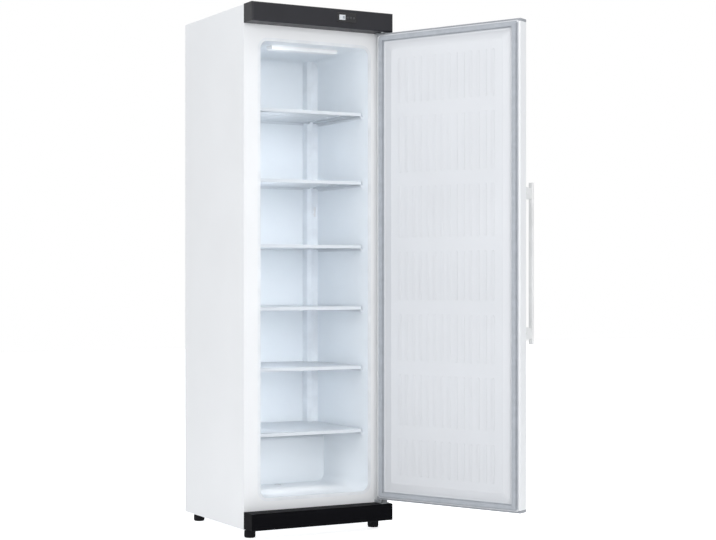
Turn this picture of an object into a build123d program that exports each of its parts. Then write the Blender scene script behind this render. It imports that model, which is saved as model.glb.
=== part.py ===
# Upright freezer with six fixed evaporator shelves, standing with its door open.
#
# The origin lies on the floor, in the middle of the cabinet's width, in the plane of the cabinet's
# front frame, where the door gasket seals. X runs to the right of someone who faces the door, Y runs
# to the back and Z runs up. All sizes are in millimetres.
from build123d import *
import math
import os

# ---- Cabinet ------------------------------------------------------------------------------------
WIDTH = 600.0  # side to side
HEIGHT = 1955.0  # floor to the top
DEPTH = 514.0  # front frame to the back panel
PROUD = 68.0  # fascia, plinth and closed door stand this far in front of the frame
UNDERSIDE = 31.0  # floor to the lower edge of the side panels
SHEET = 0.8  # outer steel
TOP_CORNER = 4.0  # radius of the cabinet's upper long edges
REAR_FLANGE = 16.0  # fold that carries the back panel
PAN_SHEET = 1.5  # steel of the base pan
PAN_LIFT = 3.0  # base pan above the lower edge of the sides

# ---- Cold space ---------------------------------------------------------------------------------
SIDE_WALL = 69.0  # insulated side wall, outside to inside
CEILING_WALL = 129.0  # top of the cabinet to the ceiling of the cold space
FLOOR_LEVEL = 142.0  # floor of the cold space
REAR_WALL = 74.0  # ceiling-high back wall
MOUTH_CORNER = 30.0  # radius of the mouth's corners
BACK_CORNER = 25.0  # radius of the upright corners at the back
LINER = 2.5  # plastic of the inner liner
LINER_FLANGE = 10.0  # liner edge hidden behind the front frame
TRIM_WIDTH = 12.0  # light grey strip round the mouth
TRIM_THICK = 2.0
STEP_REACH = 100.0  # the compressor's step stands this far out of the back wall
STEP_LEVEL = 330.0  # top of that step
STEP_EDGE = 18.0  # radius of its upper front edge
STEP_WALL = 50.0  # insulation in front of the compressor
STEP_ROOF = 31.0  # insulation above the compressor

# ---- Shelves and their coils --------------------------------------------------------------------
SHELF_1 = 375.0  # upper face of the lowest shelf, from the floor
SHELF_2 = 617.0
SHELF_3 = 844.0
SHELF_4 = 1078.0
SHELF_5 = 1322.0
SHELF_6 = 1584.0
SHELF_SHEET = 1.2
SHELF_LIP = 12.0  # height of the folded edges
SHELF_GAP = 5.0  # shelf to the liner at the sides and the back
SHELF_SETBACK = 35.0  # shelf edge behind the front frame
SHELF_CORNER = 10.0
RAIL = (9.0, 8.0)  # rail under a shelf's end: out of the wall, height
RAIL_SETBACK = 40.0  # front end of a rail behind the front frame
RAIL_STOP = 70.0  # rear end of a rail in front of the back wall
COIL_TUBE = 8.0
COIL_ROWS = 8
COIL_INSET = 48.0  # first row of the coil behind the front frame
COIL_TAIL = 38.0  # last row to the upright pipes
COIL_CLEAR = 8.0  # bends of the coil to the upright pipes
RISER_TUBE = 9.0
LINE_TUBE = 6.0
CAPILLARY = 3.0
RISER_SPREAD = 16.0  # between the two upright pipes in the corner duct
RISER_SHIFT = 4.5  # middle of the two pipes, left of the duct's middle
RISER_STANDOFF = 18.0  # pipes in front of the back wall
RETURN_BACK = 10.0  # return pipe behind the others
PIPE_OVERLAP = 1.0

# ---- Corner duct --------------------------------------------------------------------------------
DUCT_WIDTH = 41.0  # along the back wall
DUCT_REACH = 50.0  # along the side wall
DUCT_CHAMFER = 13.0
DUCT_WALL = 1.5
DUCT_ROOM = 2.0  # shelf notch to the duct
FIT_GAP = 0.5  # between fixed pieces that are set in without touching

# ---- Lamp and probe -----------------------------------------------------------------------------
LAMP_LENGTH = 282.0
LAMP_WIDTH = 44.0
LAMP_DROP = 15.0  # whole lamp below the ceiling
LAMP_BASE = 3.0
LAMP_RIM = 2.0  # base beyond the lens
LAMP_WALL = 2.0
LAMP_EDGE = 5.0
LAMP_SETBACK = 80.0
PROBE_TUBE = 6.0
PROBE_LENGTH = 40.0
PROBE_SHIFT = 6.0  # right of the duct's middle
PROBE_CLIP = (10.0, 5.0)  # width, height

# ---- Fascia, controller and plinth --------------------------------------------------------------
FASCIA_HEIGHT = 70.0
MOULDING_WALL = 2.5
MOULDING_EDGE = 5.0
PLINTH_BASE = 35.0  # floor to the plinth
PLINTH_HEIGHT = 62.0
BEZEL_SIZE = (82.0, 36.0)
BEZEL_THICK = 2.0
BEZEL_EDGE = 3.0  # bezel over the edge of its cut-out
BEZEL_CORNERS = (3.0, 0.8)  # radius of its corners, radius of its front edge
DISPLAY_SIZE = (26.0, 19.0)
DISPLAY_CENTRE = (76.5, -31.0)  # right of the middle, and down from the cabinet's top
DISPLAY_MARGIN = 8.0  # bezel left of the display
DISPLAY_SET_BACK = 0.4  # window behind the bezel's face
CONTROLLER_DEPTH = 54.0
KEY_SIZE = 9.0
KEY_PITCH = 13.0
KEY_THICK = 4.0
KEY_STAND_OUT = 0.6
KEY_TRAVEL = 1.0
KEY_GAP = 0.4
KEY_START = 6.0  # first key from the display
KEY_EDGE = 0.5
KEY_STOP = 0.5  # room left behind a key that is fully pressed
KEYS = ("key_down", "key_up", "key_set")

# ---- Feet ---------------------------------------------------------------------------------------
FOOT_SPREAD = 530.0  # between the feet, side to side
FOOT_FRONT = 20.0  # front feet behind the front frame
FOOT_REAR = 56.0  # rear feet in front of the back panel
FOOT_SOLE = 40.0
FOOT_HEIGHT = 28.0
FOOT_EDGES = (1.5, 3.0)  # chamfer below, radius above
FOOT_STEM = 10.0
FOOT_STEM_LENGTH = 60.0  # floor to the stem's upper end
THREAD_GAP = 0.05
BOSS = (20.0, 12.0)  # threaded boss on the base pan: diameter, height
STEM_ROOM = 8.0  # hollow in the foam above each stem

# ---- Door ---------------------------------------------------------------------------------------
DOOR_OPEN = 116.0  # degrees, as it stands here
DOOR_STANDOFF = 14.0  # door's inner edge in front of the frame when shut
DOOR_GAP_TOP = 5.0  # fascia to the door
DOOR_GAP_BOTTOM = 15.0  # plinth to the door
DOOR_CORNER = 12.0  # radius of the outer upright edges
DOOR_CAP = 10.0  # height of the plastic end caps
DOOR_SHEET = 0.8
DOOR_FLANGE = 26.0  # fold on the inner side
DOOR_LINER = 1.5
DOOR_LINER_INSET = 6.0
PANEL_MARGIN = 38.0  # door edge to the foot of the raised panel
PANEL_BEVEL = 28.0
PANEL_RISE = 7.0
PANEL_CORNER = 12.0
LINER_CORNER = 6.0  # radius of the inner panel's own corners
FLUTE = (10.0, 1.2)  # upright ribs on the raised panel: width, height
FLUTE_END = 4.8  # radius of a rib's ends
FLUTE_PITCH = 30.0
FLUTE_COLUMNS = 14
FLUTE_BAND = 26.0  # plain band from each shelf level to the ribs above and below it
FLUTE_MARGIN = 34.0  # panel edge to the first and last ribs
FLUTE_SHORTEST = 30.0  # a shorter rib is left out
GASKET_INSET = 10.0
GASKET_WIDTH = 21.0
GASKET_CLEAR = 0.4  # gasket to the frame when the door is shut
GASKET_CORNER = 8.0
GASKET_WAIST = 5.0  # bulb's waist narrower than the foot, each side
GASKET_FACE = 3.0  # sealing face narrower than the foot, each side

# ---- Hinges -------------------------------------------------------------------------------------
HINGE_INSET = 18.0  # axis from the door's edge
HINGE_FORWARD = 34.0  # axis in front of the frame
PIN = 8.0
PIN_FIT = 0.05  # running clearance, on the radius
PIN_REACH = 18.0  # pin inside the door
HINGE_PLATE = 3.0
HINGE_SIZE = (46.0, 52.0, 46.0)  # width, reach to the front, height of the screwed leg
HINGE_LIFT = 0.5  # between the plate and the bush it carries
HINGE_CORNER = 8.0  # radius of the bracket plates' front corners
HINGE_FOLD = (3.0, 7.0)  # stiffening fold on the lower bracket: thickness, height
BUSH = 14.0
BUSH_FLANGE = 22.0
BUSH_DEPTH = 22.0
SCREW = (5.0, 9.0, 3.0, 11.0)  # shank, head, head height, shank length
HINGE_SCREWS = ((-14.0, 12.0), (8.0, 12.0), (-3.0, 34.0))  # from the axis, above the leg's foot
BACK_SCREWS = 5  # down each long edge of the back panel
BACK_SCREW_MARGIN = 20.0  # from the panel's ends

# ---- Handle -------------------------------------------------------------------------------------
HANDLE_LENGTH = 586.0
HANDLE_CENTRE = 1005.0
HANDLE_POSTS = 506.0  # between the two posts
HANDLE_BAR = (18.0, 12.0)  # width, thickness
HANDLE_EDGE = 5.0
HANDLE_END = 1.5  # radius of the bar's ends
HANDLE_INSET = 12.0  # bar's middle from the door's free edge
HANDLE_REACH = 55.0  # bar's middle in front of the door
POST = 12.0
POST_FOOT = (20.0, 4.0)

# ---- Cooling unit -------------------------------------------------------------------------------
COMPRESSOR_SIZE = (170.0, 116.0, 162.0)
COMPRESSOR_X = -60.0
COMPRESSOR_DOME = 36.0
COMPRESSOR_SEAM = (4.0, 8.0)  # welded flange: stands out, height
SEAM_LEVEL = 91.0  # above the shell's foot
COMPRESSOR_PLATE = (214.0, 100.0, 3.0)
PLATE_CORNER = 8.0
GROMMET = (22.0, 14.0)
GROMMET_MARGIN = 2.0  # mount to the plate's edge
RELAY_BOX = (42.0, 44.0, 50.0)
RELAY_PLACE = (10.0, 26.0)  # into the shell, above the shell's foot
RELAY_EDGE = 3.0
COMPRESSOR_GAP = 4.0  # seam of the compressor to the foam's sheet
BAY_DROP = 46.0  # pipes from the corner duct end this far below the bay's roof
DRIER = (19.0, 90.0)
DRIER_EDGE = 5.0
DRIER_PLACE = (55.0, 14.0, 115.0)  # from the side, from the back panel, above the base pan
STUB_LIFT = 72.0  # compressor's discharge above its plate
SUCTION_LIFT = 34.0  # suction above the discharge
STUB_SEAT = 12.0  # pipe end inside the compressor's outline
PIPE_SEAT = 2.0  # pipe end inside the drier's outline
DISCHARGE_REACH = 50.0
SUCTION_REACH = 70.0
LIQUID_DROP = 24.0
CAPILLARY_DROP = 34.0
DISCHARGE_BEND = 22.0
LIQUID_BEND = 9.0
CAPILLARY_BEND = 14.0
SUCTION_BEND = 16.0
RETURN_BEND = 5.0
RETURN_RISE = 30.0
CONDENSER_TUBE = 5.0
CONDENSER_RUNS = 19
CONDENSER_PITCH = 72.0
CONDENSER_HALF = 225.0  # half the length of a straight run
CONDENSER_BASE = 330.0
CONDENSER_STANDOFF = 16.0
CONDENSER_FEED = 14.0  # feed pipe beside the bends
CONDENSER_EXIT = 1.0
FEED_BEND = 22.0
EXIT_BEND = 14.0
BEND_SLACK = 0.3  # keeps a short straight between two bends of a serpentine
WIRE = 1.6
WIRE_OVERRUN = 10.0  # wire beyond the first and the last run
WIRE_PITCH = 22.0
WIRES = 21
CLIP = (10.0, 14.0, 5.0)  # condenser clip: width, height, beyond the tube's middle
DRAIN = (14.0, 19.0)  # bore and outside of the drain tube
DRAIN_SETBACK = 40.0  # middle of the drain in front of the compressor's step
DRAIN_SPOUT = 4.0  # tube below the base pan
PLUG = (14.0, 25.0, 3.0, 1.0)  # drain plug: depth, head, head height, edge
INLET = (70.0, 50.0, 58.0)
INLET_EDGE = 3.0
INLET_PLACE = (95.0, 8.0)  # from the compressor's side, in front of the back panel
SOCKET = (28.0, 16.0, 20.0)
SOCKET_PIN = (2.0, 14.0, 4.0)
SOCKET_PINS = ((-7.0, -2.0), (0.0, 4.0), (7.0, -2.0))  # from the socket's middle, in X and Z

# ---- Places that follow from the sizes above ----------------------------------------------------
HALF = WIDTH / 2
MOUTH_HALF = HALF - SIDE_WALL
CEILING = HEIGHT - CEILING_WALL
BACK_WALL = DEPTH - REAR_WALL
STEP_FACE = BACK_WALL - STEP_REACH
PAN_TOP = UNDERSIDE + PAN_LIFT + PAN_SHEET
BAY_FACE = STEP_FACE + LINER + STEP_WALL
BAY_ROOF = STEP_LEVEL - LINER - STEP_ROOF
DRAIN_PLACE = STEP_FACE - DRAIN_SETBACK
FASCIA_BASE = HEIGHT - FASCIA_HEIGHT
PLINTH_TOP = PLINTH_BASE + PLINTH_HEIGHT
DOOR_BASE = PLINTH_TOP + DOOR_GAP_BOTTOM
DOOR_TOP = FASCIA_BASE - DOOR_GAP_TOP
HINGE_X = HALF - HINGE_INSET
SHELF_LEVELS = (SHELF_1, SHELF_2, SHELF_3, SHELF_4, SHELF_5, SHELF_6)
PROBE_LEVEL = (SHELF_4 + SHELF_5) / 2
RISER_LEFT = MOUTH_HALF - DUCT_WIDTH / 2 - RISER_SPREAD / 2 - RISER_SHIFT
RISER_RIGHT = RISER_LEFT + RISER_SPREAD
RISER_Y = BACK_WALL - RISER_STANDOFF
COIL_PITCH = (RISER_Y - COIL_TAIL - COIL_INSET) / (COIL_ROWS - 1)
RETURN_PIPE = ((RISER_LEFT + RISER_RIGHT) / 2, RISER_Y + RETURN_BACK)
COIL_DROP = SHELF_SHEET + COIL_TUBE / 2
BAY_PIPE_END = BAY_ROOF - BAY_DROP
CONDENSER_Y = DEPTH + CONDENSER_STANDOFF
DISPLAY_X = DISPLAY_CENTRE[0]
DISPLAY_Z = HEIGHT + DISPLAY_CENTRE[1]


# ---- Helpers ------------------------------------------------------------------------------------
def block(x0, x1, y0, y1, z0, z1):
    """A rectangular solid between two corners."""
    return Pos((x0 + x1) / 2, (y0 + y1) / 2, (z0 + z1) / 2) * Box(x1 - x0, y1 - y0, z1 - z0)


def front_prism(outline, y0, y1):
    """An outline drawn in X and Z, run from y0 back to y1."""
    plane = Plane(origin=(0, y1, 0), x_dir=(1, 0, 0), z_dir=(0, -1, 0))
    return extrude(plane * outline, amount=y1 - y0)


def floor_prism(outline, z0, z1):
    """An outline drawn in X and Y, run from z0 up to z1."""
    return extrude(Plane(origin=(0, 0, z0)) * outline, amount=z1 - z0)


def rectangle(a0, a1, b0, b1):
    """A flat rectangle between two corners."""
    return Pos((a0 + a1) / 2, (b0 + b1) / 2) * Rectangle(a1 - a0, b1 - b0)


def rounded(a0, a1, b0, b1, radius):
    """A flat rectangle between two corners, its own corners rounded."""
    return Pos((a0 + a1) / 2, (b0 + b1) / 2) * RectangleRounded(a1 - a0, b1 - b0, radius)


def rod(start, direction, diameter, length):
    """A round bar from a point along a direction."""
    return Solid.make_cylinder(diameter / 2, length, Plane(origin=start, z_dir=direction))


def upright(x, y, z0, z1, diameter):
    """A round bar that stands between two heights."""
    return rod((x, y, z0), (0, 0, 1), diameter, z1 - z0)


def bent_tube(points, bend, diameter):
    """A round tube along straight runs joined by bends of one radius."""
    line = FilletPolyline(*points, radius=bend)
    section = Plane(origin=line @ 0, z_dir=line % 0) * Circle(diameter / 2)
    return sweep(section, path=line)


def joined(pieces):
    """Several pieces kept as separate solids in one node."""
    return Compound([solid for piece in pieces for solid in piece.solids()])


def write(node, shape):
    """One node, one file."""
    export_step(shape, os.path.join("parts", node + ".step"))


# ---- Outlines and spaces used by several pieces -------------------------------------------------
def cabinet_outline(inset, base):
    """The cabinet seen from the front, taken in by a margin, from a given height up."""
    sketch = rectangle(-HALF + inset, HALF - inset, base, HEIGHT - inset)
    top = sketch.vertices().sort_by(Axis.Y)[-2:]
    return fillet(top, TOP_CORNER - inset)


def mouth(grow):
    """The opening in the front frame, made larger all round by a margin."""
    return rounded(
        -MOUTH_HALF - grow, MOUTH_HALF + grow, FLOOR_LEVEL - grow, CEILING + grow, MOUTH_CORNER + grow
    )


def cold_space(grow, front):
    """The cold space, its walls moved out by a margin, from a given distance behind the frame."""
    depth = BACK_WALL + grow
    step = STEP_FACE + grow
    roof = STEP_LEVEL - grow
    reach = MOUTH_HALF + grow
    space = front_prism(mouth(grow), front, depth)
    space = fillet(space.edges().group_by(Axis.Y)[-1], BACK_CORNER + grow)
    nose = block(-reach - 1, reach + 1, step, depth + 1, FLOOR_LEVEL - grow - 1, roof)
    front_edge = nose.edges().filter_by(Axis.X).group_by(Axis.Y)[0].sort_by(Axis.Z)[-1]
    return space - fillet(front_edge, STEP_EDGE - grow)


def riser_pipes():
    """The coils in series: five upright links in the duct, the feed from below and the return."""
    levels = [level - COIL_DROP for level in SHELF_LEVELS]
    overlap = COIL_TUBE / 2 + PIPE_OVERLAP
    pipes = []
    for index in range(len(levels) - 1):
        x = RISER_LEFT if index % 2 == 0 else RISER_RIGHT
        low, high = levels[index] - overlap, levels[index + 1] + overlap
        pipes.append(upright(x, RISER_Y, low, high, RISER_TUBE))
    pipes.append(upright(RISER_RIGHT, RISER_Y, BAY_PIPE_END, levels[0] + overlap, RISER_TUBE))
    back_x, back_y = RETURN_PIPE
    top = levels[-1] + RETURN_RISE
    path = [
        (RISER_RIGHT, RISER_Y, levels[-1] - overlap),
        (RISER_RIGHT, RISER_Y, top),
        (back_x, back_y, top),
        (back_x, back_y, BAY_PIPE_END),
    ]
    pipes.append(bent_tube(path, RETURN_BEND, LINE_TUBE))
    return pipes


def hinge_screw_places(leg_base):
    """Three screws in the upright leg of a hinge bracket, in X and Z."""
    return [(HINGE_X + across, leg_base + up) for across, up in HINGE_SCREWS]


def back_screw_places():
    """Screws down both long edges of the back panel, in X and Z."""
    edge = HALF - REAR_FLANGE / 2
    low, high = BAY_ROOF + BACK_SCREW_MARGIN, HEIGHT - BACK_SCREW_MARGIN
    heights = [low + (high - low) * i / (BACK_SCREWS - 1) for i in range(BACK_SCREWS)]
    return [(side * edge, height) for side in (-1, 1) for height in heights]


def screw(x, y, z, direction):
    """A pan-head screw whose head seats at a point and whose shank runs along Y."""
    shank, head, head_height, length = SCREW
    bolt = rod((x, y, z), (0, direction, 0), shank, length)
    return bolt + rod((x, y, z), (0, -direction, 0), head, head_height)


def screw_hole(x, y, z, direction):
    """The space that a screw's shank takes."""
    shank, _, _, length = SCREW
    return rod((x, y, z), (0, direction, 0), shank, length + FIT_GAP)


# ---- Cabinet ------------------------------------------------------------------------------------
def hinge_legs():
    """The lower end of each hinge bracket's screwed leg."""
    return (FASCIA_BASE + FIT_GAP, PLINTH_TOP - FIT_GAP - HINGE_SIZE[2])


def hinge_screw_holes():
    """All six screws of the hinge brackets, as holes through the frame."""
    places = [place for base in hinge_legs() for place in hinge_screw_places(base)]
    return [screw_hole(x, -HINGE_PLATE, z, 1) for x, z in places]


def back_screw_holes():
    """The back panel's screws, as holes through its sheet and the folds."""
    return [screw_hole(x, DEPTH, z, -1) for x, z in back_screw_places()]


def make_cabinet_wrap():
    """Sides, top and front frame folded from one steel sheet, open below and behind."""
    rear = DEPTH - SHEET
    wrap = front_prism(cabinet_outline(0, UNDERSIDE), 0, rear)
    wrap -= front_prism(cabinet_outline(SHEET, UNDERSIDE - 1), SHEET, rear - SHEET)
    reach = MOUTH_HALF + TRIM_WIDTH
    below = rectangle(-reach, reach, UNDERSIDE - 1, HEIGHT / 2)
    wrap -= front_prism(mouth(TRIM_WIDTH) + below, -1, SHEET)
    edge = HALF - REAR_FLANGE
    wrap -= block(-edge, edge, rear - SHEET - 1, DEPTH, UNDERSIDE - 1, HEIGHT - REAR_FLANGE)
    for hole in hinge_screw_holes() + back_screw_holes():
        wrap -= hole
    return wrap


def make_front_rail():
    """The white steel rail under the mouth, which the plinth is fixed to."""
    reach = MOUTH_HALF + TRIM_WIDTH
    plate = rectangle(-reach, reach, UNDERSIDE, FLOOR_LEVEL + MOUTH_CORNER)
    return front_prism(plate - mouth(TRIM_WIDTH), 0, SHEET)


def make_back_panel(wrap):
    """Rear sheet, folded forward above the compressor and down in front of it."""
    edge = HALF - SHEET
    inner = HALF - SHEET - FIT_GAP
    panel = block(-edge, edge, DEPTH - SHEET, DEPTH, BAY_ROOF, HEIGHT - SHEET)
    panel += block(-inner, inner, BAY_FACE, DEPTH, BAY_ROOF, BAY_ROOF + SHEET)
    panel += block(-inner, inner, BAY_FACE - SHEET, BAY_FACE, PAN_TOP, BAY_ROOF + SHEET)
    for hole in back_screw_holes():
        panel -= hole
    for x, y in ((RISER_RIGHT, RISER_Y), RETURN_PIPE):
        panel -= upright(x, y, BAY_ROOF - 1, BAY_ROOF + SHEET + 1, RISER_TUBE + 2 * FIT_GAP)
    return panel - wrap


def foot_places():
    """Name and centre of each levelling foot."""
    half = FOOT_SPREAD / 2
    return [
        ("front_left", -half, FOOT_FRONT),
        ("front_right", half, FOOT_FRONT),
        ("rear_left", -half, DEPTH - FOOT_REAR),
        ("rear_right", half, DEPTH - FOOT_REAR),
    ]


def make_base_pan():
    """Steel floor of the cabinet with a threaded boss over each foot."""
    edge = HALF - SHEET
    boss, boss_height = BOSS
    pan = block(-edge, edge, SHEET, DEPTH - 2 * SHEET, PAN_TOP - PAN_SHEET, PAN_TOP)
    for _, x, y in foot_places():
        pan += upright(x, y, PAN_TOP - PAN_SHEET, PAN_TOP + boss_height, boss)
    for _, x, y in foot_places():
        pan -= upright(x, y, UNDERSIDE, PAN_TOP + boss_height + 1, FOOT_STEM + 2 * THREAD_GAP)
    return pan - upright(0, DRAIN_PLACE, UNDERSIDE, PAN_TOP + 1, DRAIN[1])


def make_liner_trim():
    """Light strip round the mouth, flush with the front frame."""
    return front_prism(mouth(TRIM_WIDTH) - mouth(0), 0, TRIM_THICK)


def pipe_holes(z0, z1):
    """Where the feed and the return pass down through the step."""
    size = RISER_TUBE + 2 * FIT_GAP
    return [upright(x, y, z0, z1, size) for x, y in ((RISER_RIGHT, RISER_Y), RETURN_PIPE)]


def make_inner_liner():
    """The white tub, one moulding with its flange behind the front frame."""
    liner = cold_space(LINER, TRIM_THICK) - cold_space(0, TRIM_THICK - 1)
    flange = mouth(TRIM_WIDTH + LINER_FLANGE) - mouth(0)
    liner += front_prism(flange, TRIM_THICK, TRIM_THICK + LINER)
    liner -= upright(0, DRAIN_PLACE, FLOOR_LEVEL - LINER - 1, FLOOR_LEVEL + 1, DRAIN[1])
    for hole in pipe_holes(STEP_LEVEL - LINER - 1, STEP_LEVEL + 1):
        liner -= hole
    return liner


def make_shelf_rails():
    """Twelve short rails on the liner's side walls, one under each end of each shelf."""
    reach, height = RAIL
    rails = []
    for level in SHELF_LEVELS:
        top = level - SHELF_LIP
        for side in (-1, 1):
            x0, x1 = sorted((side * MOUTH_HALF, side * (MOUTH_HALF - reach)))
            rails.append(block(x0, x1, RAIL_SETBACK, BACK_WALL - RAIL_STOP, top - height, top))
    return joined(rails)


def make_insulation():
    """Foam that fills the walls, with room for the compressor, the pipes and the foot stems."""
    rear = DEPTH - 2 * SHEET
    foam = front_prism(cabinet_outline(SHEET, PAN_TOP), SHEET, rear)
    foam -= cold_space(LINER, 0)
    flange = mouth(TRIM_WIDTH + LINER_FLANGE)
    foam -= front_prism(flange, 0, TRIM_THICK + LINER)
    foam -= block(-HALF, HALF, BAY_FACE - SHEET, DEPTH, 0, BAY_ROOF + SHEET)
    for _, x, y in foot_places():
        foam -= upright(x, y, 0, FOOT_STEM_LENGTH + STEM_ROOM, BOSS[0])
    for hole in pipe_holes(BAY_ROOF, STEP_LEVEL):
        foam -= hole
    foam -= upright(0, DRAIN_PLACE, PAN_TOP - 1, FLOOR_LEVEL, DRAIN[1])
    for hole in hinge_screw_holes() + back_screw_holes():
        foam -= hole
    return foam


def make_drain_tube():
    """Defrost drain from the floor of the cold space to the underside."""
    bore, outside = DRAIN
    tube = upright(0, DRAIN_PLACE, PAN_TOP - PAN_SHEET - DRAIN_SPOUT, FLOOR_LEVEL, outside)
    return tube - upright(0, DRAIN_PLACE, 0, FLOOR_LEVEL + 1, bore)


def make_drain_plug():
    """Stopper in the drain, with a low round head to grip."""
    depth, head_size, head_height, edge = PLUG
    plug = upright(0, DRAIN_PLACE, FLOOR_LEVEL - depth, FLOOR_LEVEL, DRAIN[0])
    head = upright(0, DRAIN_PLACE, FLOOR_LEVEL, FLOOR_LEVEL + head_height, head_size)
    return plug + chamfer(head.edges().group_by(Axis.Z)[-1], edge)


# ---- Shelves, coils and the corner duct ---------------------------------------------------------
def shelf_outline():
    """A shelf seen from above, with the corner left out for the duct."""
    half = MOUTH_HALF - SHELF_GAP
    back = BACK_WALL - SHELF_GAP
    plan = rectangle(-half, half, SHELF_SETBACK, back)
    plan = fillet(plan.vertices().sort_by(Axis.Y)[:2], SHELF_CORNER)
    left = min(plan.vertices().sort_by(Axis.Y)[-2:], key=lambda corner: corner.X)
    plan = fillet([left], BACK_CORNER - SHELF_GAP)
    x0 = MOUTH_HALF - DUCT_WIDTH - DUCT_ROOM
    y0 = BACK_WALL - DUCT_REACH - DUCT_ROOM
    return plan - rectangle(x0, half + 1, y0, back + 1)


def make_shelf(level):
    """White sheet shelf, its edges folded down; the fold is left out where the coil comes in."""
    plan = shelf_outline()
    shelf = floor_prism(plan, level - SHELF_LIP, level)
    inside = offset(plan, amount=-SHELF_SHEET, kind=Kind.INTERSECTION)
    shelf -= floor_prism(inside, level - SHELF_LIP - 1, level - SHELF_SHEET)
    half = MOUTH_HALF - SHELF_GAP - SHELF_SHEET
    x0 = MOUTH_HALF - DUCT_WIDTH - DUCT_ROOM - 2 * SHELF_SHEET
    y0 = BACK_WALL - DUCT_REACH - DUCT_ROOM - 2 * SHELF_SHEET
    back = BACK_WALL - SHELF_GAP - SHELF_SHEET
    return shelf - block(x0, half, y0, back, level - SHELF_LIP - 1, level - SHELF_SHEET)


def make_coil(level, pipes):
    """Serpentine tube under a shelf; both ends meet the upright pipes in the corner duct."""
    z = level - COIL_DROP
    bend = COIL_PITCH / 2 - BEND_SLACK
    right = RISER_LEFT - COIL_PITCH / 2 - COIL_CLEAR
    left = -right - COIL_PITCH / 2
    first, last = COIL_INSET, COIL_INSET + (COIL_ROWS - 1) * COIL_PITCH
    points = [(RISER_RIGHT, RISER_Y, z), (RISER_RIGHT, first, z)]
    x = left
    for row in range(COIL_ROWS - 1):
        y = first + row * COIL_PITCH
        points += [(x, y, z), (x, y + COIL_PITCH, z)]
        x = right if x == left else left
    points += [(RISER_LEFT, last, z), (RISER_LEFT, RISER_Y, z)]
    coil = bent_tube(points, bend, COIL_TUBE)
    for pipe in pipes:
        coil -= pipe
    return coil


def duct_outline(inset):
    """The duct's cover seen from above, its wall taken in by a margin."""
    x0 = MOUTH_HALF - DUCT_WIDTH + inset
    y0 = BACK_WALL - DUCT_REACH + inset
    cut = DUCT_CHAMFER + (math.sqrt(2) - 1) * inset
    reach = 1.0 if inset else 0.0
    line = Polyline(
        (x0, BACK_WALL + reach),
        (x0, y0 + cut),
        (x0 + cut, y0),
        (MOUTH_HALF + reach, y0),
        (MOUTH_HALF + reach, BACK_WALL + reach),
        close=True,
    )
    return make_face(line)


def make_duct_covers():
    """A cover over the upright pipes between one shelf and the next, up to the ceiling."""
    profile = duct_outline(0) - duct_outline(DUCT_WALL)
    room = cold_space(0, 0)
    floors = [STEP_LEVEL] + [level + FIT_GAP for level in SHELF_LEVELS]
    tops = [level - SHELF_LIP - FIT_GAP for level in SHELF_LEVELS] + [CEILING]
    return joined([floor_prism(profile, z0, z1) & room for z0, z1 in zip(floors, tops)])


def make_probe():
    """Thermostat bulb upright on the front of the duct, with its two clips."""
    x = MOUTH_HALF - DUCT_WIDTH / 2 + PROBE_SHIFT
    y = BACK_WALL - DUCT_REACH
    centre = y - PROBE_TUBE / 2
    probe = upright(x, centre, PROBE_LEVEL, PROBE_LEVEL + PROBE_LENGTH, PROBE_TUBE)
    half, rise = PROBE_CLIP[0] / 2, PROBE_CLIP[1] / 2
    for share in (0.25, 0.75):
        z = PROBE_LEVEL + share * PROBE_LENGTH
        probe += block(x - half, x + half, centre, y, z - rise, z + rise)
    return probe


# ---- Lamp ---------------------------------------------------------------------------------------
def make_lamp_base():
    """Flat mounting plate of the ceiling lamp."""
    half = LAMP_LENGTH / 2 + LAMP_RIM
    y0, y1 = LAMP_SETBACK - LAMP_RIM, LAMP_SETBACK + LAMP_WIDTH + LAMP_RIM
    return floor_prism(rounded(-half, half, y0, y1, 2 * LAMP_RIM), CEILING - LAMP_BASE, CEILING)


def make_lamp_lens():
    """Milky cover below it, hollow, with rounded lower edges."""
    half = LAMP_LENGTH / 2
    y0, y1 = LAMP_SETBACK, LAMP_SETBACK + LAMP_WIDTH
    z0, z1 = CEILING - LAMP_DROP, CEILING - LAMP_BASE
    lens = block(-half, half, y0, y1, z0, z1)
    lens = fillet(lens.edges().group_by(Axis.Z)[0], LAMP_EDGE)
    wall = LAMP_WALL
    return lens - block(-half + wall, half - wall, y0 + wall, y1 - wall, z0 + wall, z1 + 1)


# ---- Fascia, controller, plinth -----------------------------------------------------------------
def moulding(z0, z1):
    """A black trough across the cabinet, open to the back, its outer edges rounded."""
    trough = block(-HALF, HALF, -PROUD, 0, z0, z1)
    front = trough.edges().group_by(Axis.Y)[0]
    trough = fillet(front, MOULDING_EDGE)
    wall = MOULDING_WALL
    return trough - block(-HALF + wall, HALF - wall, -PROUD + wall, 1, z0 + wall, z1 - wall)


def leg_slot(z0, z1):
    """Room for a hinge bracket's leg where it enters a moulding at the frame."""
    half = HINGE_SIZE[0] / 2 + FIT_GAP
    return block(HINGE_X - half, HINGE_X + half, -HINGE_PLATE - FIT_GAP, 1, z0, z1)


def controller_span():
    """The controller's body behind the bezel: x0, x1, z0, z1."""
    x0 = DISPLAY_X - DISPLAY_SIZE[0] / 2 - DISPLAY_MARGIN
    z0 = DISPLAY_Z - BEZEL_SIZE[1] / 2
    x1, z1 = x0 + BEZEL_SIZE[0], z0 + BEZEL_SIZE[1]
    return x0 + BEZEL_EDGE, x1 - BEZEL_EDGE, z0 + BEZEL_EDGE, z1 - BEZEL_EDGE


def make_fascia():
    """Black housing across the top, with the controller's cut-out."""
    fascia = moulding(FASCIA_BASE, HEIGHT)
    x0, x1, z0, z1 = controller_span()
    fascia -= block(x0, x1, -PROUD - 1, -PROUD + MOULDING_WALL + 1, z0, z1)
    return fascia - leg_slot(FASCIA_BASE - 1, FASCIA_BASE + MOULDING_WALL + 1)


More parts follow.
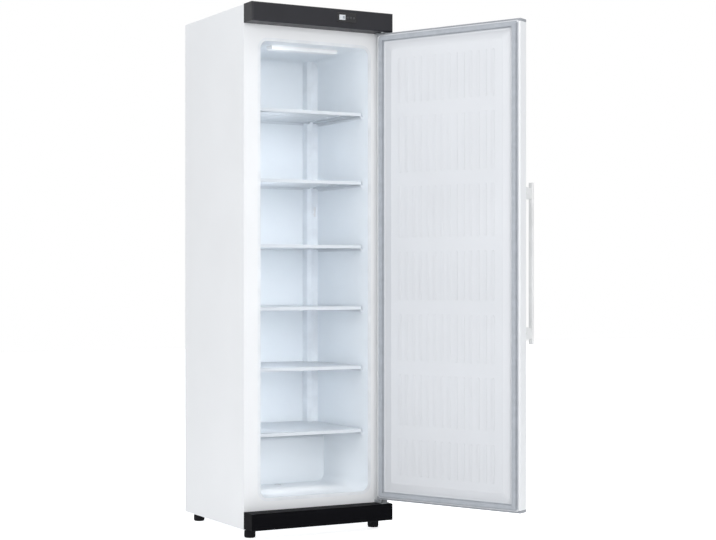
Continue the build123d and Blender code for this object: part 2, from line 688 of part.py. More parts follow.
def make_plinth():
    """Black trough across the bottom."""
    plinth = moulding(PLINTH_BASE, PLINTH_TOP)
    return plinth - leg_slot(PLINTH_TOP - MOULDING_WALL - 1, PLINTH_TOP + 1)


def key_centres():
    """The middle of each key, in X, from left to right."""
    start = DISPLAY_X + DISPLAY_SIZE[0] / 2 + KEY_START + KEY_SIZE / 2
    return [start + i * KEY_PITCH for i in range(len(KEYS))]


def key_room(x, y0, y1):
    """The square hole that a key runs in."""
    half = KEY_SIZE / 2 + KEY_GAP
    return block(x - half, x + half, y0, y1, DISPLAY_Z - half, DISPLAY_Z + half)


def display_block(y0, y1):
    """The display's own rectangle."""
    half_w, half_h = DISPLAY_SIZE[0] / 2, DISPLAY_SIZE[1] / 2
    return block(
        DISPLAY_X - half_w, DISPLAY_X + half_w, y0, y1, DISPLAY_Z - half_h, DISPLAY_Z + half_h
    )


def make_controller_housing():
    """Body of the digital thermostat behind the bezel, with a pocket behind each key."""
    x0, x1, z0, z1 = controller_span()
    housing = block(x0, x1, -PROUD, -PROUD + CONTROLLER_DEPTH, z0, z1)
    floor = -PROUD - BEZEL_THICK - KEY_STAND_OUT + KEY_THICK + KEY_TRAVEL + KEY_STOP
    for x in key_centres():
        housing -= key_room(x, -PROUD - 1, floor)
    return housing


def make_controller_bezel():
    """Thin frame in front of the fascia, round the display and the keys."""
    x0, x1, z0, z1 = controller_span()
    edge = BEZEL_EDGE
    plate = block(x0 - edge, x1 + edge, -PROUD - BEZEL_THICK, -PROUD, z0 - edge, z1 + edge)
    corner, front_edge = BEZEL_CORNERS
    plate = fillet(plate.edges().filter_by(Axis.Y), corner)
    plate = fillet(plate.faces().sort_by(Axis.Y)[0].edges(), front_edge)
    plate -= display_block(-PROUD - BEZEL_THICK - 1, -PROUD + 1)
    for x in key_centres():
        plate -= key_room(x, -PROUD - BEZEL_THICK - 1, -PROUD + 1)
    return plate


def make_display():
    """Lit window, a little behind the bezel's face."""
    return display_block(-PROUD - BEZEL_THICK + DISPLAY_SET_BACK, -PROUD)


def make_key(x):
    """One square key; it runs back into the bezel when it is pressed."""
    front = -PROUD - BEZEL_THICK - KEY_STAND_OUT
    half = KEY_SIZE / 2
    key = block(x - half, x + half, front, front + KEY_THICK, DISPLAY_Z - half, DISPLAY_Z + half)
    return fillet(key.faces().sort_by(Axis.Y)[0].edges(), KEY_EDGE)


# ---- Feet ---------------------------------------------------------------------------------------
def make_foot(x, y):
    """Moulded levelling foot on a steel stem that screws into the base pan."""
    sole = Solid.make_cylinder(FOOT_SOLE / 2, FOOT_HEIGHT, Plane(origin=(x, y, 0)))
    low_edge, top_edge = FOOT_EDGES
    sole = chamfer(sole.edges().group_by(Axis.Z)[0], low_edge)
    sole = fillet(sole.edges().group_by(Axis.Z)[-1], top_edge)
    return sole + upright(x, y, FOOT_HEIGHT - 1, FOOT_STEM_LENGTH, FOOT_STEM)


# ---- Hinges on the cabinet ----------------------------------------------------------------------
def hinge_levels():
    """Lower face of each bracket's flat plate: the upper one, then the lower one."""
    return FASCIA_BASE - HINGE_PLATE, PLINTH_TOP


def make_hinge_bracket(plate_base, leg_base, fold):
    """Angle bracket: a leg screwed to the frame and a flat plate, folded up inside, for the pin."""
    width, reach, height = HINGE_SIZE
    x0 = HINGE_X - width / 2
    x1 = min(HINGE_X + width / 2, HALF - MOULDING_WALL - FIT_GAP)
    plan = rounded(x0, x1, -reach, reach, HINGE_CORNER)
    plan &= rectangle(x0, x1, -reach, 0)
    bracket = floor_prism(plan, plate_base, plate_base + HINGE_PLATE)
    low, high = sorted((leg_base, leg_base + height))
    low, high = min(low, plate_base), max(high, plate_base + HINGE_PLATE)
    bracket += block(x0, x1, -HINGE_PLATE, 0, low, high)
    if fold:
        thick, height = HINGE_FOLD
        top = plate_base + HINGE_PLATE + height
        bracket += block(x0, x0 + thick, HINGE_CORNER - reach, 0, plate_base, top)
    bracket -= upright(HINGE_X, -HINGE_FORWARD, plate_base - 1, plate_base + HINGE_PLATE + 1, PIN)
    for x, z in hinge_screw_places(leg_base):
        bracket -= screw_hole(x, -HINGE_PLATE - 1, z, 1)
    return bracket


def make_hinge_pins():
    """Upper pin pointing down and lower pin pointing up, on one axis."""
    upper, lower = hinge_levels()
    top = upright(HINGE_X, -HINGE_FORWARD, DOOR_TOP - PIN_REACH, upper + HINGE_PLATE, PIN)
    bottom = upright(HINGE_X, -HINGE_FORWARD, lower, DOOR_BASE + PIN_REACH, PIN)
    return joined([top, bottom])


def make_cabinet_screws():
    """Screws of the hinge brackets and of the back panel."""
    screws = []
    for base in hinge_legs():
        for x, z in hinge_screw_places(base):
            screws.append(screw(x, -HINGE_PLATE, z, 1))
    for x, z in back_screw_places():
        screws.append(screw(x, DEPTH, z, -1))
    return joined(screws)


# ---- Cooling unit -------------------------------------------------------------------------------
def compressor_centre():
    """Middle of the compressor, in X and Y."""
    return COMPRESSOR_X, BAY_FACE + COMPRESSOR_SIZE[1] / 2 + COMPRESSOR_SEAM[0] + COMPRESSOR_GAP


def grommet_places():
    """The four rubber mounts under the compressor's plate."""
    x, y = compressor_centre()
    margin = GROMMET[0] / 2 + GROMMET_MARGIN
    dx = COMPRESSOR_PLATE[0] / 2 - margin
    dy = COMPRESSOR_PLATE[1] / 2 - margin
    return [(x + i * dx, y + j * dy) for i in (-1, 1) for j in (-1, 1)]


def make_compressor():
    """Hermetic compressor: domed steel shell with its welded seam, on a mounting plate."""
    x, y = compressor_centre()
    width, depth, height = COMPRESSOR_SIZE
    plate_width, plate_depth, plate_thick = COMPRESSOR_PLATE
    stand_out, seam = COMPRESSOR_SEAM
    base = PAN_TOP + GROMMET[1]
    shell = extrude(Plane(origin=(x, y, base)) * Ellipse(width / 2, depth / 2), amount=height)
    shell = fillet(shell.edges().group_by(Axis.Z)[-1], COMPRESSOR_DOME)
    seam_plane = Plane(origin=(x, y, base + SEAM_LEVEL))
    shell += extrude(seam_plane * Ellipse(width / 2 + stand_out, depth / 2 + stand_out), amount=seam)
    plate = Pos(x, y) * RectangleRounded(plate_width, plate_depth, PLATE_CORNER)
    return shell + floor_prism(plate, base, base + plate_thick)


def make_grommets():
    """Rubber mounts between the base pan and the compressor's plate."""
    diameter, height = GROMMET
    return joined([upright(x, y, PAN_TOP, PAN_TOP + height, diameter) for x, y in grommet_places()])


def make_relay_box(compressor):
    """Starting relay and overload in a plastic box on the compressor's side."""
    x, y = compressor_centre()
    width, depth, height = RELAY_BOX
    x0 = x + COMPRESSOR_SIZE[0] / 2 - RELAY_PLACE[0]
    z0 = PAN_TOP + GROMMET[1] + RELAY_PLACE[1]
    box = block(x0, x0 + width, y - depth / 2, y + depth / 2, z0, z0 + height)
    return fillet(box.faces().sort_by(Axis.X)[-1].edges(), RELAY_EDGE) - compressor


def condenser_ends():
    """Upper-left and lower-right ends of the condenser, in X."""
    side = CONDENSER_HALF + CONDENSER_PITCH / 2
    return -side - CONDENSER_FEED, side + CONDENSER_EXIT


def make_condenser_tube():
    """Serpentine tube behind the back panel, with the riser that feeds its top run."""
    y = CONDENSER_Y
    bend = CONDENSER_PITCH / 2 - BEND_SLACK
    feed_x, end_x = condenser_ends()
    top = CONDENSER_BASE + (CONDENSER_RUNS - 1) * CONDENSER_PITCH
    half = CONDENSER_HALF
    points = [(feed_x, y, BAY_ROOF), (feed_x, y, top)]
    x = half + CONDENSER_PITCH / 2
    for run in range(CONDENSER_RUNS - 1):
        z = top - run * CONDENSER_PITCH
        points += [(x, y, z), (x, y, z - CONDENSER_PITCH)]
        x = -x
    points += [(end_x, y, CONDENSER_BASE), (end_x, y, BAY_ROOF)]
    radii = [FEED_BEND] + [bend] * (2 * (CONDENSER_RUNS - 1)) + [EXIT_BEND]
    line = FilletPolyline(*points, radius=radii)
    section = Plane(origin=line @ 0, z_dir=line % 0) * Circle(CONDENSER_TUBE / 2)
    return sweep(section, path=line)


def make_condenser_wires():
    """Upright wires on both sides of the condenser tube."""
    z0 = CONDENSER_BASE - WIRE_OVERRUN
    z1 = CONDENSER_BASE + (CONDENSER_RUNS - 1) * CONDENSER_PITCH + WIRE_OVERRUN
    shift = (CONDENSER_TUBE + WIRE) / 2
    wires = []
    for column in range(WIRES):
        x = (column - (WIRES - 1) / 2) * WIRE_PITCH
        wires += [upright(x, CONDENSER_Y + side * shift, z0, z1, WIRE) for side in (-1, 1)]
    return joined(wires)


def make_condenser_clips():
    """Four plastic clips, between the outer wires, that hold the condenser off the back panel."""
    clips = []
    middle = (WIRES / 2 - 1) * WIRE_PITCH
    half = CLIP[0] / 2
    for run in (1, CONDENSER_RUNS - 2):
        z = CONDENSER_BASE + run * CONDENSER_PITCH
        for x in (-middle, middle):
            reach = CONDENSER_Y + CLIP[2]
            clip = block(x - half, x + half, DEPTH, reach, z - CLIP[1] / 2, z + CLIP[1] / 2)
            clips.append(clip - rod((x - half, CONDENSER_Y, z), (1, 0, 0), CONDENSER_TUBE, CLIP[0]))
    return joined(clips)


def drier_place():
    """Centre line of the filter drier, in X and Y, and its lower end."""
    side, back, lift = DRIER_PLACE
    return HALF - side, DEPTH - back, PAN_TOP + lift


def make_filter_drier():
    """Copper filter drier, drawn in to the pipes at both ends."""
    diameter, length = DRIER
    x, y, z = drier_place()
    body = upright(x, y, z, z + length, diameter)
    return fillet(body.edges(), DRIER_EDGE)


def make_refrigerant_pipes(compressor, drier):
    """Discharge, liquid line, capillary and suction line in the compressor's bay."""
    x, y = compressor_centre()
    feed_x, end_x = condenser_ends()
    drier_x, drier_y, drier_z = drier_place()
    drier_top = drier_z + DRIER[1]
    stub = PAN_TOP + GROMMET[1] + STUB_LIFT
    high = stub + SUCTION_LIFT
    reach = COMPRESSOR_SIZE[0] / 2
    discharge = [
        (x - reach + STUB_SEAT, y, stub),
        (x - reach - DISCHARGE_REACH, y, stub),
        (feed_x, CONDENSER_Y, stub),
        (feed_x, CONDENSER_Y, BAY_ROOF),
    ]
    liquid = [
        (end_x, CONDENSER_Y, BAY_ROOF),
        (end_x, CONDENSER_Y, BAY_ROOF - LIQUID_DROP),
        (drier_x, drier_y, BAY_ROOF - LIQUID_DROP),
        (drier_x, drier_y, drier_top - PIPE_SEAT),
    ]
    capillary = [
        (drier_x, drier_y, drier_z + PIPE_SEAT),
        (drier_x, drier_y, drier_z - CAPILLARY_DROP),
        (RISER_RIGHT, RISER_Y, drier_z - CAPILLARY_DROP),
        (RISER_RIGHT, RISER_Y, BAY_PIPE_END),
    ]
    back_x, back_y = RETURN_PIPE
    suction = [
        (back_x, back_y, BAY_PIPE_END),
        (back_x, back_y, high),
        (x + reach + SUCTION_REACH, y, high),
        (x + reach - STUB_SEAT, y, high),
    ]
    pipes = [
        bent_tube(discharge, DISCHARGE_BEND, CONDENSER_TUBE),
        bent_tube(liquid, LIQUID_BEND, CONDENSER_TUBE),
        bent_tube(capillary, CAPILLARY_BEND, CAPILLARY),
        bent_tube(suction, SUCTION_BEND, LINE_TUBE),
    ]
    return joined([pipe - compressor - drier for pipe in pipes])


def make_mains_inlet():
    """Junction box on the base pan with a bare socket that faces the back."""
    width, depth, height = INLET
    x0 = COMPRESSOR_X + COMPRESSOR_SIZE[0] / 2 + INLET_PLACE[0]
    y1 = DEPTH - INLET_PLACE[1]
    box = block(x0, x0 + width, y1 - depth, y1, PAN_TOP, PAN_TOP + height)
    box = fillet(box.edges().filter_by(Axis.Z), INLET_EDGE)
    x, z = x0 + width / 2, PAN_TOP + height / 2
    wide, deep, tall = SOCKET
    box -= block(x - wide / 2, x + wide / 2, y1 - deep, y1 + 1, z - tall / 2, z + tall / 2)
    thick, reach, high = SOCKET_PIN
    foot = y1 - deep - 1
    for dx, dz in SOCKET_PINS:
        left, low = x + dx - thick / 2, z + dz - high / 2
        box += block(left, left + thick, foot, foot + reach, low, low + high)
    return box


# ---- Door, drawn shut ---------------------------------------------------------------------------
def door_outline(inset):
    """The door seen from above, taken in by a margin, its outer corners rounded."""
    plan = rectangle(-HALF + inset, HALF - inset, -PROUD + inset, -DOOR_STANDOFF - inset)
    return fillet(plan.vertices().sort_by(Axis.Y)[:2], DOOR_CORNER - inset)


def bush_pockets(outside):
    """Round pockets for both hinge bushes, or the bushes' own bodies."""
    y = -HINGE_FORWARD
    return [
        upright(HINGE_X, y, DOOR_TOP - BUSH_DEPTH, DOOR_TOP, outside),
        upright(HINGE_X, y, DOOR_BASE, DOOR_BASE + BUSH_DEPTH, outside),
    ]


def raised_panel(shrink):
    """The bevelled field of the inner panel, its skin moved in by a margin."""
    edge = HALF - PANEL_MARGIN
    base, top = DOOR_BASE + PANEL_MARGIN, DOOR_TOP - PANEL_MARGIN
    y = -DOOR_STANDOFF + DOOR_LINER - shrink
    outlines = []
    for step, inset in ((0, 0), (PANEL_RISE, PANEL_BEVEL)):
        plane = Plane(origin=(0, y + step, 0), x_dir=(1, 0, 0), z_dir=(0, -1, 0))
        x, low, high = edge - inset, base + inset, top - inset
        outlines.append(plane * rounded(-x, x, low, high, PANEL_CORNER))
    return loft(outlines)


def flutes():
    """Upright ribs on the raised panel, broken by a plain band at each shelf's level."""
    width, rise = FLUTE
    y = -DOOR_STANDOFF + DOOR_LINER + PANEL_RISE
    base = DOOR_BASE + PANEL_MARGIN + PANEL_BEVEL + FLUTE_MARGIN
    top = DOOR_TOP - PANEL_MARGIN - PANEL_BEVEL - FLUTE_MARGIN
    lows = [base] + [level + FLUTE_BAND for level in SHELF_LEVELS]
    highs = [level - FLUTE_BAND for level in SHELF_LEVELS] + [top]
    ribs = []
    for low, high in zip(lows, highs):
        if high - low < FLUTE_SHORTEST:
            continue
        for column in range(FLUTE_COLUMNS):
            x = (column - (FLUTE_COLUMNS - 1) / 2) * FLUTE_PITCH
            outline = rounded(x - width / 2, x + width / 2, low, high, FLUTE_END)
            ribs.append(front_prism(outline, y - DOOR_LINER / 2, y + rise))
    return ribs


def make_door_skin():
    """White outer sheet of the door: face, edges and the folds on the inner side."""
    low, high = DOOR_BASE + DOOR_CAP, DOOR_TOP - DOOR_CAP
    skin = floor_prism(door_outline(0), low, high)
    skin -= floor_prism(door_outline(DOOR_SHEET), low - 1, high + 1)
    edge = HALF - DOOR_FLANGE
    return skin - block(-edge, edge, -DOOR_STANDOFF - 2 * DOOR_SHEET, 0, low - 1, high + 1)


def make_door_caps():
    """Plastic end caps at the top and the bottom of the door, pierced for the bushes."""
    caps = []
    for low, high in ((DOOR_BASE, DOOR_BASE + DOOR_CAP), (DOOR_TOP - DOOR_CAP, DOOR_TOP)):
        cap = floor_prism(door_outline(0), low, high)
        for pocket in bush_pockets(BUSH):
            cap -= pocket
        caps.append(cap)
    return joined(caps)


def make_door_liner():
    """Inner panel: flat rim under the gasket, bevelled field, ribs between plain bands."""
    edge = HALF - DOOR_LINER_INSET
    low, high = DOOR_BASE + DOOR_LINER_INSET, DOOR_TOP - DOOR_LINER_INSET
    rim = rounded(-edge, edge, low, high, LINER_CORNER)
    liner = front_prism(rim, -DOOR_STANDOFF, -DOOR_STANDOFF + DOOR_LINER) + raised_panel(0)
    liner += flutes()
    return liner - raised_panel(DOOR_LINER)


def make_door_foam(liner):
    """Insulation between the door's outer sheet and its inner panel."""
    low, high = DOOR_BASE + DOOR_CAP, DOOR_TOP - DOOR_CAP
    foam = floor_prism(door_outline(DOOR_SHEET), low, high)
    edge = HALF - DOOR_FLANGE
    window = block(-edge, edge, -DOOR_STANDOFF - DOOR_SHEET, -DOOR_STANDOFF, low, high)
    foam += window + raised_panel(DOOR_LINER)
    for pocket in bush_pockets(BUSH):
        foam -= pocket
    return foam - liner


def make_gasket():
    """Magnetic gasket all round: a soft hollow bulb on a flat foot."""
    foot_y, face_y = -DOOR_STANDOFF + DOOR_LINER, -GASKET_CLEAR
    outer = HALF - GASKET_INSET
    base, top = DOOR_BASE + GASKET_INSET, DOOR_TOP - GASKET_INSET

    def ring(margin, width, y0, y1):
        low, high = base + margin, top - margin
        rim = rounded(-outer + margin, outer - margin, low, high, GASKET_CORNER)
        inner = margin + width
        hole = rectangle(-outer + inner, outer - inner, base + inner, top - inner)
        return front_prism(rim - hole, y0, y1)

    depth = face_y - foot_y
    third = depth / 3
    gasket = ring(0, GASKET_WIDTH, foot_y, foot_y + third)
    waist, face = GASKET_WAIST, GASKET_FACE
    gasket += ring(waist, GASKET_WIDTH - 2 * waist, foot_y + third, face_y - third)
    return gasket + ring(face, GASKET_WIDTH - 2 * face, face_y - third, face_y)


def make_bushes():
    """Nylon bushes in the door's end caps; the lower one is tall and carries the door."""
    upper, lower = hinge_levels()
    y = -HINGE_FORWARD
    top, bottom = bush_pockets(BUSH)
    top += upright(HINGE_X, y, DOOR_TOP, upper - HINGE_LIFT, BUSH_FLANGE)
    bottom += upright(HINGE_X, y, lower + HINGE_PLATE + HINGE_LIFT, DOOR_BASE, BUSH_FLANGE)
    bore = upright(HINGE_X, y, lower, upper + HINGE_PLATE, PIN + 2 * PIN_FIT)
    return joined([top - bore, bottom - bore])


def handle_place():
    """The bar's middle, in X and Y, with the door shut."""
    return -HALF + HANDLE_INSET, -PROUD - HANDLE_REACH


def make_handle_bar():
    """Straight upright bar with rounded edges."""
    x, y = handle_place()
    width, thick = HANDLE_BAR
    low = HANDLE_CENTRE - HANDLE_LENGTH / 2
    outline = Pos(x, y) * RectangleRounded(width, thick, HANDLE_EDGE)
    bar = floor_prism(outline, low, low + HANDLE_LENGTH)
    ends = bar.edges().group_by(Axis.Z)
    return fillet(ends[0] + ends[-1], HANDLE_END)


def make_handle_posts():
    """Two round posts with a wider foot against the door."""
    x, _ = handle_place()
    foot, foot_height = POST_FOOT
    reach = HANDLE_REACH - HANDLE_BAR[1] / 2
    posts = []
    for side in (-1, 1):
        z = HANDLE_CENTRE + side * HANDLE_POSTS / 2
        post = rod((x, -PROUD, z), (0, -1, 0), POST, reach)
        posts.append(post + rod((x, -PROUD, z), (0, -1, 0), foot, foot_height))
    return joined(posts)


def opened(shape):
    """Swings a piece of the shut door to where the door stands."""
    axis = Axis((HINGE_X, -HINGE_FORWARD, 0), (0, 0, 1))
    return shape.rotate(axis, DOOR_OPEN)


# ---- The whole freezer --------------------------------------------------------------------------
def main():
    os.makedirs("parts", exist_ok=True)

    pipes = riser_pipes()
    wrap = make_cabinet_wrap()
    write("cabinet_wrap", wrap)
    write("front_rail", make_front_rail())
    write("back_panel", make_back_panel(wrap))
    write("base_pan", make_base_pan())
    write("insulation", make_insulation())
    write("inner_liner", make_inner_liner())
    write("shelf_rails", make_shelf_rails())
    write("liner_trim", make_liner_trim())
    write("drain_tube", make_drain_tube())
    write("drain_plug", make_drain_plug())

    for number, level in enumerate(SHELF_LEVELS, start=1):
        write(f"shelf_{number}", make_shelf(level))
        write(f"evaporator_coil_{number}", make_coil(level, pipes))
    write("riser_pipes", joined(pipes))
    write("duct_covers", make_duct_covers())
    write("temperature_probe", make_probe())
    write("lamp_base", make_lamp_base())
    write("lamp_lens", make_lamp_lens())

    write("fascia", make_fascia())
    write("controller_housing", make_controller_housing())
    write("controller_bezel", make_controller_bezel())
    write("display_window", make_display())
    for name, x in zip(KEYS, key_centres()):
        write(name, make_key(x))
    write("plinth", make_plinth())
    for name, x, y in foot_places():
        write(f"foot_{name}", make_foot(x, y))

    for name, plate, leg in zip(("upper", "lower"), hinge_levels(), hinge_legs()):
        write(f"{name}_hinge_bracket", make_hinge_bracket(plate, leg, name == "lower"))
    write("hinge_pins", make_hinge_pins())
    write("cabinet_screws", make_cabinet_screws())

    compressor = make_compressor()
    drier = make_filter_drier()
    write("compressor", compressor)
    write("compressor_mounts", make_grommets())
    write("relay_box", make_relay_box(compressor))
    write("filter_drier", drier)
    write("refrigerant_pipes", make_refrigerant_pipes(compressor, drier))
    write("condenser_tube", make_condenser_tube())
    write("condenser_wires", make_condenser_wires())
    write("condenser_clips", make_condenser_clips())
    write("mains_inlet", make_mains_inlet())

    liner = make_door_liner()
    write("door_skin", opened(make_door_skin()))
    write("door_caps", opened(make_door_caps()))
    write("door_foam", opened(make_door_foam(liner)))
    write("door_liner", opened(liner))
    write("door_gasket", opened(make_gasket()))
    write("hinge_bushes", opened(make_bushes()))
    write("handle_bar", opened(make_handle_bar()))
    write("handle_posts", opened(make_handle_posts()))


main()
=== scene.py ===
import math

import bmesh
import bpy
from mathutils import Matrix, Vector


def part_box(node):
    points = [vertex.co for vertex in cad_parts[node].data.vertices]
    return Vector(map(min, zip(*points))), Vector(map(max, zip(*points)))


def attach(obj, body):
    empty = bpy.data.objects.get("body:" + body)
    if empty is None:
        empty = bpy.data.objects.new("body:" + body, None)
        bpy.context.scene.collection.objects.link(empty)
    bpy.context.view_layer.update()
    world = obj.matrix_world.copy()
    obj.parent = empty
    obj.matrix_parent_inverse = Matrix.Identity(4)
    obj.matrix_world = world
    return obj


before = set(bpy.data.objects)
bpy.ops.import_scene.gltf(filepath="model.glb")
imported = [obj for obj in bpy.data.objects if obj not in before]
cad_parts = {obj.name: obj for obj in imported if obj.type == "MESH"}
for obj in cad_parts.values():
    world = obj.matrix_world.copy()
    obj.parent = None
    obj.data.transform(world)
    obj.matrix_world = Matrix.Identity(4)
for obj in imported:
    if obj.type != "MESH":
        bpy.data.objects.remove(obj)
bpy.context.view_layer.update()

# The upright freezer's finishes, small trim, studio and photograph view. All sizes are in metres,
# in the frame of the part: X right, Y back, Z up, the floor at zero and the frame that the door
# closes on at Y = 0.

# ---- Sizes shared with the part -----------------------------------------------------------------
MM = 0.001
DOOR_OPEN = math.radians(116)  # as it stands at rest
HINGE = Vector((0.282, -0.034, 0.0))
SHELVES = 6
FEET = ("front_left", "front_right", "rear_left", "rear_right")

# ---- Camera, as fitted to the photograph --------------------------------------------------------
IMAGE_WIDTH = 716
IMAGE_HEIGHT = 540
FOCAL_PIXELS = 1517.1
PRINCIPAL_X = 244.7  # pixels from the left
PRINCIPAL_Y = 280.7  # pixels from the top
CAMERA_PLACE = (-2.7997, -4.9475, 0.9427)
CAMERA_YAW = math.radians(-26.84)
SENSOR = 36.0  # millimetres

# ---- Colours, linear ----------------------------------------------------------------------------
ENAMEL = (0.86, 0.865, 0.87)
LINER = (0.885, 0.925, 0.96)
# The door's liner is the same pale plastic as the cabinet's liner; its greyer colour here is partly
# painted shade on the door's inner face.
DOOR_LINER_SHADED = (0.69, 0.70, 0.72)
SHELF = (0.74, 0.775, 0.81)
TRIM = (0.84, 0.86, 0.88)
GASKET = (0.375, 0.395, 0.425)
CAP_GREY = (0.33, 0.345, 0.37)
BLACK = (0.006, 0.006, 0.008)
GLOSS_BLACK = (0.008, 0.008, 0.010)
WORN_BLACK = (0.03, 0.03, 0.033)
MOUNT_RUBBER = (0.02, 0.02, 0.021)
FASCIA = (0.017, 0.017, 0.021)
GREY_PLASTIC = (0.62, 0.63, 0.65)
HANDLE = (0.80, 0.80, 0.79)
ZINC = (0.46, 0.48, 0.50)
GALVANISED = (0.50, 0.53, 0.55)
STEEL = (0.58, 0.58, 0.59)
ALUMINIUM = (0.62, 0.65, 0.69)
# The coils' pale coating, greyed: the grey is painted shade under the shelves.
COIL_SHADED = (0.62, 0.655, 0.69)
COPPER = (0.72, 0.36, 0.22)
DULL_COPPER = (0.42, 0.20, 0.13)
FOAM = (0.78, 0.66, 0.36)
NYLON = (0.20, 0.205, 0.21)
LENS = (0.82, 0.83, 0.835)
GLOW = (0.56, 0.58, 0.60)
SEGMENT = (0.02, 0.05, 0.09)
MARKING = (0.07, 0.072, 0.076)
# Painted shade: the dark inside the screws' cross recesses, laid on their heads as thin dark
# crosses.
RECESS_SHADE = (0.05, 0.05, 0.055)
DUST = (0.30, 0.29, 0.27)
WHITE = (1.0, 1.0, 1.0)


# ---- Materials ----------------------------------------------------------------------------------
NOISE_RANGE = (0.3, 0.7)  # where most of a noise texture's values lie
TINT_RANGE = (0.35, 0.65)
BEVEL_SAMPLES = 4
DUST_SLOPE = (0.35, 1.0)  # upward part of the normal, from no dust to full dust
DUST_SCALE = 35
DUST_THIN = 0.25  # share of the dust where it lies thinnest


class Finish:
    """One material: a Principled shader, to which layers of fine relief and variation are added."""

    def __init__(self, name, color, rough, metallic=0.0, specular=0.5):
        self.name = name
        self.material = bpy.data.materials.new(name)
        self.material.use_nodes = True
        self.nodes = self.material.node_tree.nodes
        self.links = self.material.node_tree.links
        self.shader = self.nodes["Principled BSDF"]
        self.set("Base Color", (*color, 1.0))
        self.set("Roughness", rough)
        self.set("Metallic", metallic)
        self.set("Specular IOR Level", specular)
        self.color = color
        self.rough = rough
        self.normal = None  # the relief added so far
        self.place = self.nodes.new("ShaderNodeTexCoord").outputs["Object"]

    def set(self, socket, value):
        """Gives one of the shader's sockets a constant."""
        self.shader.inputs[socket].default_value = value
        return self

    def stretched(self, scale):
        """Object coordinates, stretched along the axes, for grain that runs one way."""
        mapping = self.nodes.new("ShaderNodeMapping")
        mapping.inputs["Scale"].default_value = scale
        self.links.new(self.place, mapping.inputs["Vector"])
        return mapping.outputs["Vector"]

    def noise(self, scale, detail=3.0, roughness=0.5, stretch=None):
        """A noise value; scale is roughly its waves in a metre."""
        node = self.nodes.new("ShaderNodeTexNoise")
        node.inputs["Scale"].default_value = scale
        node.inputs["Detail"].default_value = detail
        node.inputs["Roughness"].default_value = roughness
        place = self.place if stretch is None else self.stretched(stretch)
        self.links.new(place, node.inputs["Vector"])
        return node.outputs["Fac"]

    def cells(self, scale):
        """A pattern of cells, with their distance and colour as outputs."""
        node = self.nodes.new("ShaderNodeTexVoronoi")
        node.inputs["Scale"].default_value = scale
        self.links.new(self.place, node.inputs["Vector"])
        return node

    def spread(self, fac, low, high, source=NOISE_RANGE):
        """A value brought from its usual range into another."""
        node = self.nodes.new("ShaderNodeMapRange")
        ends = {"From Min": source[0], "From Max": source[1], "To Min": low, "To Max": high}
        for socket, value in ends.items():
            node.inputs[socket].default_value = value
        self.links.new(fac, node.inputs["Value"])
        return node.outputs["Result"]

    def use_normal(self, normal):
        """Makes a normal the shader's, and the one that the next relief builds on."""
        self.normal = normal
        self.links.new(normal, self.shader.inputs["Normal"])
        return self

    def relief(self, fac, depth, strength):
        """Adds one layer of bump; depth is its height in metres."""
        bump = self.nodes.new("ShaderNodeBump")
        bump.inputs["Strength"].default_value = strength
        bump.inputs["Distance"].default_value = depth
        self.links.new(fac, bump.inputs["Height"])
        if self.normal is not None:
            self.links.new(self.normal, bump.inputs["Normal"])
        return self.use_normal(bump.outputs["Normal"])

    def soft_edges(self, radius):
        """Rounds the look of sharp edges; it comes before any relief."""
        bevel = self.nodes.new("ShaderNodeBevel")
        bevel.samples = BEVEL_SAMPLES
        bevel.inputs["Radius"].default_value = radius
        return self.use_normal(bevel.outputs["Normal"])

    def sheen_patches(self, fac, amount):
        """Roughness that wanders by an amount either way."""
        value = self.spread(fac, self.rough - amount, self.rough + amount)
        self.links.new(value, self.shader.inputs["Roughness"])
        return self

    def mix_colors(self, fac, other):
        """A mix towards another colour, which becomes the finish's colour."""
        mix = self.nodes.new("ShaderNodeMix")
        mix.data_type = "RGBA"
        mix.inputs["B"].default_value = (*other, 1.0)
        self.links.new(fac, mix.inputs["Factor"])
        before = self.shader.inputs["Base Color"].links
        if before:
            self.links.new(before[0].from_socket, mix.inputs["A"])
        else:
            mix.inputs["A"].default_value = (*self.color, 1.0)
        self.links.new(mix.outputs["Result"], self.shader.inputs["Base Color"])
        return self

    def tint(self, fac, other, source=TINT_RANGE):
        """Colour that wanders between the finish's own and another."""
        return self.mix_colors(self.spread(fac, 0.0, 1.0, source), other)

    def dusty(self, amount):
        """Pale dust on what faces up, thicker in some places than in others."""
        normal = self.nodes.new("ShaderNodeNewGeometry").outputs["Normal"]
        parts = self.nodes.new("ShaderNodeSeparateXYZ")
        self.links.new(normal, parts.inputs["Vector"])
        cover = self.spread(parts.outputs["Z"], 0.0, amount, DUST_SLOPE)
        drifts = self.spread(self.noise(DUST_SCALE, detail=5, roughness=0.65), DUST_THIN, 1.0)
        both = self.nodes.new("ShaderNodeMath")
        both.operation = "MULTIPLY"
        self.links.new(cover, both.inputs[0])
        self.links.new(drifts, both.inputs[1])
        return self.mix_colors(both.outputs["Value"], DUST)


def scaled(color, share):
    """A colour made darker or lighter by a share."""
    return tuple(min(1.0, channel * share) for channel in color)


def enamel(name, color, specular=0.45):
    """Sprayed and baked enamel on sheet steel: orange peel, a faint wander in gloss."""
    finish = Finish(name, color, rough=0.345, specular=specular)
    finish.soft_edges(radius=0.8 * MM)
    finish.relief(finish.noise(420, detail=2), depth=0.03 * MM, strength=0.5)
    finish.relief(finish.noise(7, detail=2), depth=0.25 * MM, strength=0.35)
    finish.sheen_patches(finish.noise(5, detail=4), amount=0.05)
    return finish.tint(finish.noise(3), scaled(color, 0.975))


def formed_sheet(name, color):
    """Vacuum-formed plastic: long soft waves, a fine grain and a slow drift in tone."""
    waves = (1.0, 1.0, 0.35)
    finish = Finish(name, color, rough=0.38, specular=0.45)
    finish.soft_edges(radius=1.5 * MM)
    finish.relief(finish.noise(1400, detail=2), depth=0.015 * MM, strength=0.5)
    finish.relief(finish.noise(14, detail=2, stretch=waves), depth=0.35 * MM, strength=0.5)
    finish.sheen_patches(finish.noise(9, detail=4), amount=0.06)
    return finish.tint(finish.noise(2.5), scaled(color, 0.96))


